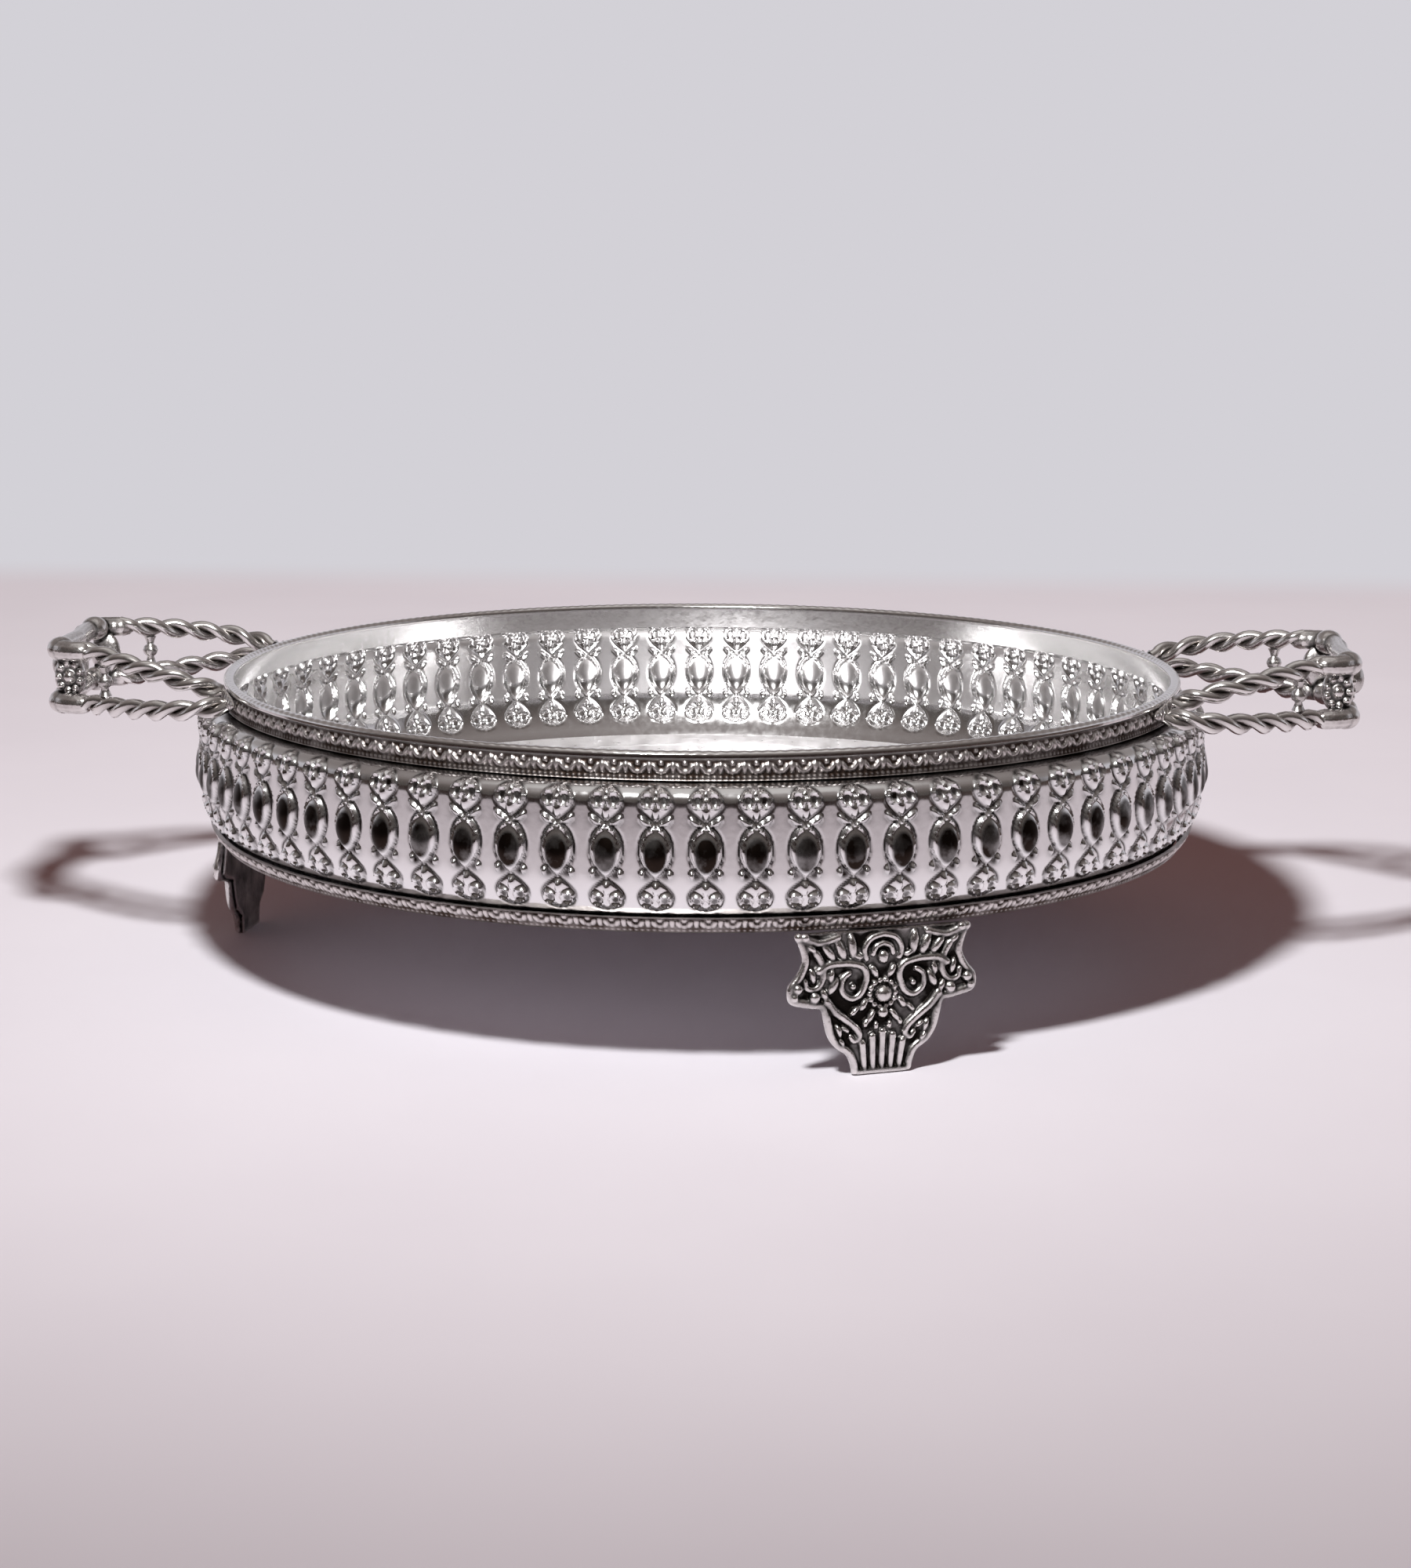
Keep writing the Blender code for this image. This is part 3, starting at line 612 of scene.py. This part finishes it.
def foot_pattern():
    """The foot's shapes, facing -Y, with its middle on X = 0 and its sole at Z = 0."""
    bm = bmesh.new()
    back = [bm.verts.new((x * MM, 0.8 * MM, z * MM)) for x, z in FOOT_OUTLINE]
    plate = bmesh.ops.extrude_face_region(bm, geom=[bm.faces.new(back)])
    moved = [v for v in plate["geom"] if isinstance(v, bmesh.types.BMVert)]
    bmesh.ops.translate(bm, verts=moved, vec=(0, FOOT_FACE - 0.8 * MM, 0))
    bmesh.ops.recalc_face_normals(bm, faces=bm.faces)
    for line, thick, thin, lift in FOOT_SCROLLS:
        scroll_wire(bm, line, thick, thin, lift)
    for x, z, lean, long, wide in FOOT_LEAVES:
        egg(bm, (x * MM, FOOT_FACE - 0.3 * MM, z * MM), (wide * MM, 1.3 * MM, long * MM), lean)
    for x, z, size in FOOT_BEADS:
        egg(bm, (x * MM, FOOT_FACE - 0.7 * MM, z * MM), (size * MM, size * MM, size * MM))
    for x, low, high in TOE_RIDGES:
        line = [(x * MM, FOOT_FACE, low * MM), (x * 1.2 * MM, FOOT_FACE - 0.6 * MM, high * MM)]
        bar(bm, line, [0.85 * MM, 1.05 * MM])
    bar(bm, [(0, FOOT_FACE, 1.0 * MM), (6.8 * MM, FOOT_FACE, 1.0 * MM)], [1.0 * MM, 1.0 * MM])
    bmesh.ops.mirror(bm, geom=bm.verts[:] + bm.edges[:] + bm.faces[:], axis="X", merge_dist=0.001 * MM)
    bmesh.ops.recalc_face_normals(bm, faces=bm.faces)
    egg(bm, (0, FOOT_FACE - 0.9 * MM, JEWEL_HEIGHT * MM), (2.3 * MM, 2.0 * MM, 2.3 * MM))
    for i in range(14):
        angle = FULL_TURN * i / 14
        height = (JEWEL_HEIGHT + JEWEL_RING * math.sin(angle)) * MM
        spot = (JEWEL_RING * MM * math.cos(angle), FOOT_FACE - 0.4 * MM, height)
        egg(bm, spot, (0.8 * MM, 0.9 * MM, 0.8 * MM))
    egg(bm, (0, FOOT_FACE - 0.6 * MM, 16.6 * MM), (1.5 * MM, 1.5 * MM, 1.6 * MM))
    egg(bm, (0, FOOT_FACE - 0.5 * MM, 31.4 * MM), (1.5 * MM, 1.4 * MM, 1.9 * MM))
    return bm


def foot_lug():
    """The lug behind a foot that reaches under the floor for its screw."""
    bm = bmesh.new()
    bmesh.ops.create_cube(bm, size=1.0)
    deep = FOOT_RADIUS - LUG_TIP
    bmesh.ops.scale(bm, verts=bm.verts, vec=(2 * LUG_HALF, deep, LUG_THICK))
    bmesh.ops.translate(bm, verts=bm.verts, vec=(0, deep / 2, FOOT_TOP - 1.4 * MM))
    bmesh.ops.bevel(
        bm, geom=bm.edges[:], offset=0.5 * MM, offset_type="OFFSET", segments=2, profile=0.5,
        affect="EDGES", material=-1,
    )
    mesh = mesh_of(bm, "foot_lug")
    note_tarnish_and_painted_shade(mesh, np.full(len(mesh.vertices), 0.6))
    return mesh


def build_feet():
    skin = cast(foot_pattern(), "cast_foot", CAST_GRAIN, 0.8)
    lug = foot_lug()
    for place, degrees in FOOT_ANGLES.items():
        whole = bmesh.new()
        whole.from_mesh(skin)
        whole.from_mesh(lug)
        angle = math.radians(degrees)
        spot = Matrix.Translation((FOOT_RADIUS * math.cos(angle), FOOT_RADIUS * math.sin(angle), 0))
        turn = Matrix.Rotation(angle + math.pi / 2, 4, "Z")
        bmesh.ops.transform(whole, matrix=spot @ turn, verts=whole.verts)
        mesh = mesh_of(whole, "cast_foot_" + place)
        finished("cast_foot_" + place, mesh, cast_silver, ["foot_" + place])


build_feet()


# ---------------------------------------------------------------------------------------------------
# Foot screws and nuts. Small nickelled steel fixings: the round head shows on the floor and the hex
# nut hides under the lug.
# A darker, warmer grey than the silver round it.
nickelled_steel = plated_silver(
    "dull nickel plate", "#B9B5AE", "#5B5650", 0.28, 0.45, 0.8 * MM, 0.01 * MM
)
for place in FOOT_ANGLES:
    low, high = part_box(f"foot_{place}_screw")
    middle = (low + high) / 2
    head_base = FLOOR_TOP + 0.3 * MM
    chain = [(0, high.z), (1.5 * MM, high.z - 0.2 * MM), (2.5 * MM, high.z - 0.8 * MM), (3.0 * MM, head_base)]
    chain += [(1.5 * MM, head_base), (1.5 * MM, low.z + 0.4 * MM), (1.1 * MM, low.z), (0, low.z)]
    screw = lathe([(middle.x + radius, middle.y, height) for radius, height in chain], middle, 32)
    mesh = mesh_of(screw, "round_head_screw")
    note_tarnish_and_painted_shade(mesh, np.full(len(mesh.vertices), 0.2))
    name = f"round_head_screw_{place}"
    finished(name, mesh, nickelled_steel, [f"foot_{place}_screw"], sharp=35)
    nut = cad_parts[f"foot_{place}_nut"]
    nut.data.materials.clear()
    nut.data.materials.append(nickelled_steel)


# ---------------------------------------------------------------------------------------------------
# Handles. Each is four twisted-wire legs from two small pads on the rim to a cast end, where smooth
# bars and rosette blocks turn the corners and a scrolled plate carries a round boss. Balusters brace
# the legs.
HANDLES = {"right": 0.0, "left": math.pi}
LEVELS = {"upper": (17.9, 84.4 * MM, 92.4 * MM), "lower": (21.1, 81.2 * MM, 77.0 * MM)}
REACH = 186.5 * MM
NOSE = 188.5 * MM
NOSE_HALF = 23.0 * MM
SOCKET = REACH - 7.2 * MM
SOCKET_HALF = 25.8 * MM
PAD_FACE = 141.8 * MM
PAD_SKIN = 141.2 * MM
PAD_MIDDLE = 82.4 * MM
PAD_TURN = math.radians(19.5)
LEG_SWEEP = 16.3 * MM
STRAND = 1.55 * MM
TWIST = 18.5 * MM
ROSETTE_RADIUS = 3.3 * MM
PLATE_BEADS = 5.7 * MM
PAD_LOBES = ((-9.6, 1.7), (-6.6, 2.3), (-3.4, 2.8), (0.0, 3.1), (3.4, 2.8), (6.6, 2.3), (9.6, 1.7))
# A baluster's radius in millimetres at each share of its height.
BALUSTER = (
    (0.0, 1.9), (0.12, 1.4), (0.28, 1.0), (0.36, 1.9), (0.5, 2.3),
    (0.64, 1.9), (0.72, 1.0), (0.88, 1.4), (1.0, 1.9),
)
# Bright plate along each strand, with brown-grey tarnish in the groove between them.
twisted_silver = plated_silver(
    "twisted silver-plated wire", "#EEEBE9", "#5A504A", 0.15, 0.4, 1.6 * MM, 0.02 * MM
)


def leg_line(level, side, count=48):
    """Centre line of one leg, out of its pad and in to the end casting, evenly spaced."""
    degrees, pad_height, end_height = LEVELS[level]
    angle = math.radians(side * degrees)
    out = Vector((math.cos(angle), math.sin(angle), 0))
    start = out * PAD_FACE + Vector((0, 0, pad_height))
    bend_start = start + out * 2 * MM
    socket = Vector((SOCKET, side * SOCKET_HALF, end_height))
    bend_end = socket - Vector((2 * MM, 0, 0))
    control = start + out * (LEG_SWEEP - 0.3 * MM) + Vector((0, 0, 0.55 * (end_height - pad_height)))
    first = bend_start.lerp(control, 2 / 3)
    last = bend_end.lerp(control, 2 / 3)
    return [start] + interpolate_bezier(bend_start, first, last, bend_end, count) + [socket]


def twisted(line, hand):
    """The two strands of a twisted wire round a centre line."""
    strands = [[], []]
    run = 0.0
    for i, point in enumerate(line):
        before, after = line[max(i - 1, 0)], line[min(i + 1, len(line) - 1)]
        ahead = (after - before).normalized()
        across = ahead.cross(Vector((0, 0, 1))).normalized()
        above = across.cross(ahead)
        if i:
            run += (point - line[i - 1]).length
        for k, strand in enumerate(strands):
            angle = hand * FULL_TURN * run / TWIST + math.pi * k
            strand.append(point + STRAND * (across * math.cos(angle) + above * math.sin(angle)))
    return strands


def wire_mesh(lines, radius, name):
    """Round wires along lines of points, as one mesh with closed ends."""
    curve = bpy.data.curves.new(name, "CURVE")
    curve.dimensions = "3D"
    curve.bevel_depth = radius
    curve.bevel_resolution = 4
    curve.use_fill_caps = True
    for line in lines:
        spline = curve.splines.new("POLY")
        spline.points.add(len(line) - 1)
        for target, point in zip(spline.points, line):
            target.co = (*point, 1)
    wire = bpy.data.objects.new(name, curve)
    bpy.context.scene.collection.objects.link(wire)
    mesh = bpy.data.meshes.new_from_object(wire.evaluated_get(bpy.context.evaluated_depsgraph_get()))
    bpy.data.objects.remove(wire, do_unlink=True)
    bm = bmesh.new()
    bm.from_mesh(mesh)
    bmesh.ops.remove_doubles(bm, verts=bm.verts, dist=0.002 * MM)
    bmesh.ops.recalc_face_normals(bm, faces=bm.faces)
    bm.to_mesh(mesh)
    bm.free()
    return mesh


def build_rope(name, level, side, turn, node):
    line = leg_line(level, side)
    mesh = wire_mesh(twisted(line, side), STRAND, name)
    points = coordinates(mesh)
    centre = np.array([list(p) for p in line])
    gap = np.sqrt(((points[:, None, :] - centre[None, :, :]) ** 2).sum(axis=2)).min(axis=1)
    note_tarnish_and_painted_shade(mesh, 1.2 - gap / (1.7 * STRAND))
    mesh.transform(Matrix.Rotation(turn, 4, "Z"))
    finished(name, mesh, twisted_silver, [node])


def end_pattern():
    """The handle's cast end: bars, knobs and a rosette block at each corner, and the scrolled plate."""
    bm = bmesh.new()
    middle = (LEVELS["upper"][2] + LEVELS["lower"][2]) / 2
    for level, (_, _, height) in LEVELS.items():
        way = 1 if level == "upper" else -1
        for side in (1, -1):
            start = Vector((SOCKET, side * SOCKET_HALF, height))
            corner = Vector((NOSE, side * NOSE_HALF, height))
            far = Vector((REACH, 0, height))
            first = start + Vector((2.0 * MM, 0, 0))
            controls = (first.lerp(corner, 0.9), far.lerp(corner, 0.88))
            line = [start] + interpolate_bezier(first, *controls, far, 14)
            bar(bm, line, [3.0 * MM] * 3 + [3.1 * MM] * 4 + [2.6 * MM] * 8)
            egg(bm, (NOSE - 2.2 * MM, side * 21.0 * MM, height), (4.2 * MM, 4.4 * MM, 3.7 * MM))
            knob = (NOSE - 0.6 * MM, side * 12.6 * MM, height - way * 0.6 * MM)
            egg(bm, knob, (3.0 * MM, 2.7 * MM, 3.0 * MM))
            scroll = []
            for i in range(12):
                t = i / 11
                angle = 1.2 + 1.3 * FULL_TURN * t
                reach = 3.6 * MM * (1 - 0.7 * t)
                across = side * (8.6 * MM - reach * math.cos(angle))
                rise = way * (2.8 * MM + reach * math.sin(angle) * 0.8)
                scroll.append((REACH + 1.8 * MM, across, middle + rise))
            bar(bm, scroll, [1.35 * MM * (1 - 0.03 * i) for i in range(12)])
    for side in (1, -1):
        egg(bm, (REACH - 3.0 * MM, side * 22.8 * MM, middle), (4.7 * MM, 1.8 * MM, 6.4 * MM))
        egg(bm, (REACH - 3.0 * MM, side * 24.4 * MM, middle), (1.7 * MM, 1.5 * MM, 1.9 * MM))
        for i in range(9):
            angle = FULL_TURN * i / 9
            ahead = REACH - 3 * MM + ROSETTE_RADIUS * math.cos(angle)
            spot = (ahead, side * 24 * MM, middle + 4 * MM * math.sin(angle))
            egg(bm, spot, (1.0 * MM, 1.2 * MM, 1.0 * MM))
    size = Matrix.Diagonal((3.4 * MM, 8.4 * MM, 7.4 * MM, 1))
    plate = Matrix.Translation((REACH + 0.8 * MM, 0, middle)) @ size
    bmesh.ops.create_uvsphere(bm, u_segments=32, v_segments=16, radius=1.0, matrix=plate)
    for i in range(12):
        angle = FULL_TURN * i / 12
        across, rise = PLATE_BEADS * math.cos(angle), PLATE_BEADS * math.sin(angle)
        spot = (REACH + 3.8 * MM, across, middle + rise)
        bmesh.ops.create_icosphere(bm, subdivisions=2, radius=1.2 * MM, matrix=Matrix.Translation(spot))
    return bm


def build_boss(name, turn, node):
    low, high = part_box("right_handle_boss")
    middle = (low.z + high.z) / 2
    face = high.x - 2.9 * MM
    chain = [(high.x, 0)]
    for i in range(1, 9):
        angle = math.pi / 2 * i / 8
        chain.append((face + (high.x - face) * math.cos(angle), 4.4 * MM * math.sin(angle)))
    chain += [(face - 0.8 * MM, 4.6 * MM), (face - 1.6 * MM, 4.0 * MM), (face - 1.6 * MM, 0)]
    bm = lathe([(x, 0, middle + radius) for x, radius in chain], (0, 0, middle), 40, axis=(1, 0, 0))
    bmesh.ops.transform(bm, matrix=Matrix.Rotation(turn, 4, "Z"), verts=bm.verts)
    mesh = mesh_of(bm, name)
    note_tarnish_and_painted_shade(mesh, np.full(len(mesh.vertices), 0.25))
    finished(name, mesh, cast_silver, [node])


def build_baluster(name, node):
    """A turned post with a ball at its middle, between the upper and the lower leg."""
    low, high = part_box(node)
    tall = high.z - low.z
    chain = [(0, 0)] + [(radius * MM, share * tall) for share, radius in BALUSTER] + [(0, tall)]
    middle = (low + high) / 2
    bm = lathe([(middle.x + radius, middle.y, low.z + rise) for radius, rise in chain], middle, 24)
    mesh = mesh_of(bm, name)
    note_tarnish_and_painted_shade(mesh, np.full(len(mesh.vertices), 0.25))
    finished(name, mesh, cast_silver, [node], sharp=80)


def pad_pattern():
    """A small cast shell that solders the legs to the rim, facing +X with its middle on Y = 0."""
    bm = bmesh.new()
    for across, tall in PAD_LOBES:
        spot = (PAD_SKIN * math.cos(across * MM / PAD_SKIN), across * MM, PAD_MIDDLE)
        egg(bm, spot, (0.8 * MM, 2.6 * MM, (tall - 0.3) * MM))
        egg(bm, (spot[0] + 0.2 * MM, *spot[1:]), (1.0 * MM, 1.2 * MM, tall * MM))
    return bm


pad_skin = cast(pad_pattern(), "handle_pad", 0.25 * MM, 0.45)
end_skin = cast(end_pattern(), "handle_end", 0.36 * MM, 0.45)
for hand, turn in HANDLES.items():
    skin = end_skin.copy()
    skin.transform(Matrix.Rotation(turn, 4, "Z"))
    finished(f"{hand}_handle_cast_end", skin, cast_silver, [f"{hand}_handle_end"])
    build_boss(f"{hand}_handle_round_boss", turn, f"{hand}_handle_boss")
    for side, place in ((1, "back"), (-1, "front")):
        for level in LEVELS:
            name = f"{hand}_{level}_{place}_twisted_leg"
            build_rope(name, level, side, turn, f"{hand}_handle_{level}_{place}_rope")
        build_baluster(f"{hand}_{place}_baluster", f"{hand}_handle_{place}_strut")
        pad = pad_skin.copy()
        pad.transform(Matrix.Rotation(turn + side * PAD_TURN, 4, "Z"))
        name = f"{hand}_{place}_cast_pad"
        finished(name, pad, cast_silver, [f"{hand}_handle_{place}_pad"])


# ---------------------------------------------------------------------------------------------------
# Studio. A pale lilac board that fades to the backdrop far behind, one small key light above and in
# front, a dim room with a pale drop behind for the silver to reflect, a low dark flag curved round the
# front, and the camera. The key lights only what lies ahead of it, so the floor behind it stays dark.
CAMERA_TURN = math.radians(3.0)
CAMERA_AWAY = 979.0 * MM
CAMERA_HEIGHT = 238.7 * MM
CAMERA_DOWN = math.radians(10.87)
CAMERA_ROLL = math.radians(0.21)
CAMERA_AIM = math.radians(0.065)
SENSOR = 36.0
LENS = 76.86
KEY_PLACE = (-74 * MM, -385 * MM, 407 * MM)
KEY_AIM = (0, 150 * MM, 0)
KEY_SIZE = 60 * MM
KEY_WATTS = 23.0
# The key has no falloff of its own and gains with distance to this power, which evens out the board.
KEY_GAIN = 0.66
FLOOR_FADE = (0.80, 0.93)
BACKDROP = "#D3D1D7"
# What matt surfaces get from the room: a warm bounce that the silver doesn't reflect.
FILL = "#5E3229"
BOARD = 6.0
DROP_EDGE = (-0.25, 0.2)
FLAG_RADIUS = 620 * MM
FLAG_HEIGHT = 120 * MM
FLAG_ENDS = 100 * MM

ground_bm = bmesh.new()
bmesh.ops.create_grid(ground_bm, x_segments=1, y_segments=1, size=BOARD)
ground = bpy.data.objects.new("studio_floor", mesh_of(ground_bm, "studio_floor"))
bpy.context.scene.collection.objects.link(ground)
painted = bpy.data.materials.new("pale painted board")
painted.use_nodes = True
board = painted.node_tree
where = add_node(board, "ShaderNodeTexCoord").outputs["Object"]
far = add_node(board, "ShaderNodeSeparateXYZ", {0: where}).outputs["Y"]
fade = add_node(
    board, "ShaderNodeMapRange", {0: far, 1: FLOOR_FADE[0], 2: FLOOR_FADE[1]},
    interpolation_type="SMOOTHSTEP",
).outputs[0]
cloudy = add_node(board, "ShaderNodeTexNoise", {"Vector": where, "Scale": 6.0, "Detail": 4.0}).outputs["Fac"]
near_tone = add_node(
    board, "ShaderNodeMix", {"Factor": cloudy, 6: linear("#D3CFD6"), 7: linear("#DFDCE2")}, data_type="RGBA"
)
paint = board.nodes["Principled BSDF"]
board.links.new(near_tone.outputs[2], paint.inputs["Base Color"])
paint.inputs["Roughness"].default_value = 0.75
haze = add_node(board, "ShaderNodeEmission", {"Color": linear(BACKDROP)}).outputs[0]
joined = add_node(board, "ShaderNodeMixShader", {0: fade, 1: paint.outputs[0], 2: haze}).outputs[0]
board.links.new(joined, board.nodes["Material Output"].inputs["Surface"])
ground.data.materials.append(painted)

world = bpy.data.worlds.new("studio")
bpy.context.scene.world = world
world.use_nodes = True
sky = world.node_tree
background = sky.nodes["Background"]
gaze = add_node(sky, "ShaderNodeTexCoord").outputs["Generated"]
axes = add_node(sky, "ShaderNodeSeparateXYZ", {0: gaze})
up = axes.outputs["Z"]
behind = add_node(
    sky, "ShaderNodeMapRange", {0: axes.outputs["Y"], 1: DROP_EDGE[0], 2: DROP_EDGE[1]},
    interpolation_type="SMOOTHSTEP",
).outputs[0]


def ramp(stops):
    """A colour that changes with height in the room, from (sine of elevation, colour) stops."""
    made = add_node(sky, "ShaderNodeValToRGB", {0: up})
    band = made.color_ramp
    for _ in range(len(stops) - 2):
        band.elements.new(0.5)
    for element, (position, colour) in zip(band.elements, stops):
        element.position = position
        element.color = linear(colour)
    return made.outputs[0]


ceiling = [(0.7, "#7E7674"), (0.86, "#8E8785"), (0.95, "#C8C4C2")]
room = ramp([(0.0, "#4C4745"), (0.3, "#544E4B"), (0.5, "#645C59")] + ceiling)
drop = ramp([(0.0, "#CDCAD0"), (0.3, "#C6C4CA"), (0.45, "#96908F")] + ceiling)
around = add_node(sky, "ShaderNodeMix", {"Factor": behind, 6: room, 7: drop}, data_type="RGBA")
path = add_node(sky, "ShaderNodeLightPath").outputs
fill = add_node(
    sky, "ShaderNodeMix", {"Factor": path["Is Diffuse Ray"], 6: around.outputs[2], 7: linear(FILL)},
    data_type="RGBA",
)
backdrop = add_node(
    sky, "ShaderNodeMix", {"Factor": path["Is Camera Ray"], 6: fill.outputs[2], 7: linear(BACKDROP)},
    data_type="RGBA",
)
sky.links.new(backdrop.outputs[2], background.inputs["Color"])

flag_bm = bmesh.new()
bmesh.ops.create_cone(
    flag_bm, cap_ends=False, segments=96, radius1=FLAG_RADIUS, radius2=FLAG_RADIUS, depth=FLAG_HEIGHT,
    matrix=Matrix.Translation((0, 0, FLAG_HEIGHT / 2)),
)
cloth = flag_bm.verts[:] + flag_bm.edges[:] + flag_bm.faces[:]
bmesh.ops.bisect_plane(
    flag_bm, geom=cloth, plane_co=(0, FLAG_ENDS, 0), plane_no=(0, 1, 0), clear_outer=True
)
flag = bpy.data.objects.new("dark_flag", mesh_of(flag_bm, "dark_flag"))
bpy.context.scene.collection.objects.link(flag)
felt = bpy.data.materials.new("dark felt")
felt.use_nodes = True
nap = felt.node_tree.nodes["Principled BSDF"]
nap.inputs["Base Color"].default_value = linear("#3A2F2A")
nap.inputs["Roughness"].default_value = 0.9
flag.data.materials.append(felt)
flag.visible_camera = False
flag.visible_shadow = False

camera_frame = Matrix.Rotation(CAMERA_TURN, 4, "Z")
key = bpy.data.lights.new("key", "AREA")
key.shape = "DISK"
key.size = KEY_SIZE
key.energy = KEY_WATTS
key.use_nodes = True
lamp = key.node_tree
even = add_node(lamp, "ShaderNodeLightFalloff", {"Strength": 1.0}).outputs["Constant"]
away = add_node(lamp, "ShaderNodeLightPath").outputs["Ray Length"]
gain = add_node(lamp, "ShaderNodeMath", {0: away, 1: KEY_GAIN}, operation="POWER").outputs[0]
spread = add_node(lamp, "ShaderNodeMath", {0: even, 1: gain}, operation="MULTIPLY").outputs[0]
lamp.links.new(spread, lamp.nodes["Emission"].inputs["Strength"])
key_object = bpy.data.objects.new("key", key)
bpy.context.scene.collection.objects.link(key_object)
key_spot = camera_frame @ Vector(KEY_PLACE)
key_aim = (Vector(KEY_AIM) - key_spot).to_track_quat("-Z", "Y").to_matrix().to_4x4()
key_object.matrix_world = Matrix.Translation(key_spot) @ key_aim

lens = bpy.data.cameras.new("camera")
lens.sensor_width = SENSOR
lens.lens = LENS
lens.clip_start = 0.01
camera = bpy.data.objects.new("camera", lens)
bpy.context.scene.collection.objects.link(camera)
stand = Matrix.Translation((0, -CAMERA_AWAY, CAMERA_HEIGHT))
aim = Matrix.Rotation(-CAMERA_AIM, 4, "Z") @ Matrix.Rotation(math.pi / 2 - CAMERA_DOWN, 4, "X")
camera.matrix_world = camera_frame @ stand @ aim @ Matrix.Rotation(CAMERA_ROLL, 4, "Z")
bpy.context.scene.camera = camera
bpy.context.scene.view_settings.view_transform = "Standard"
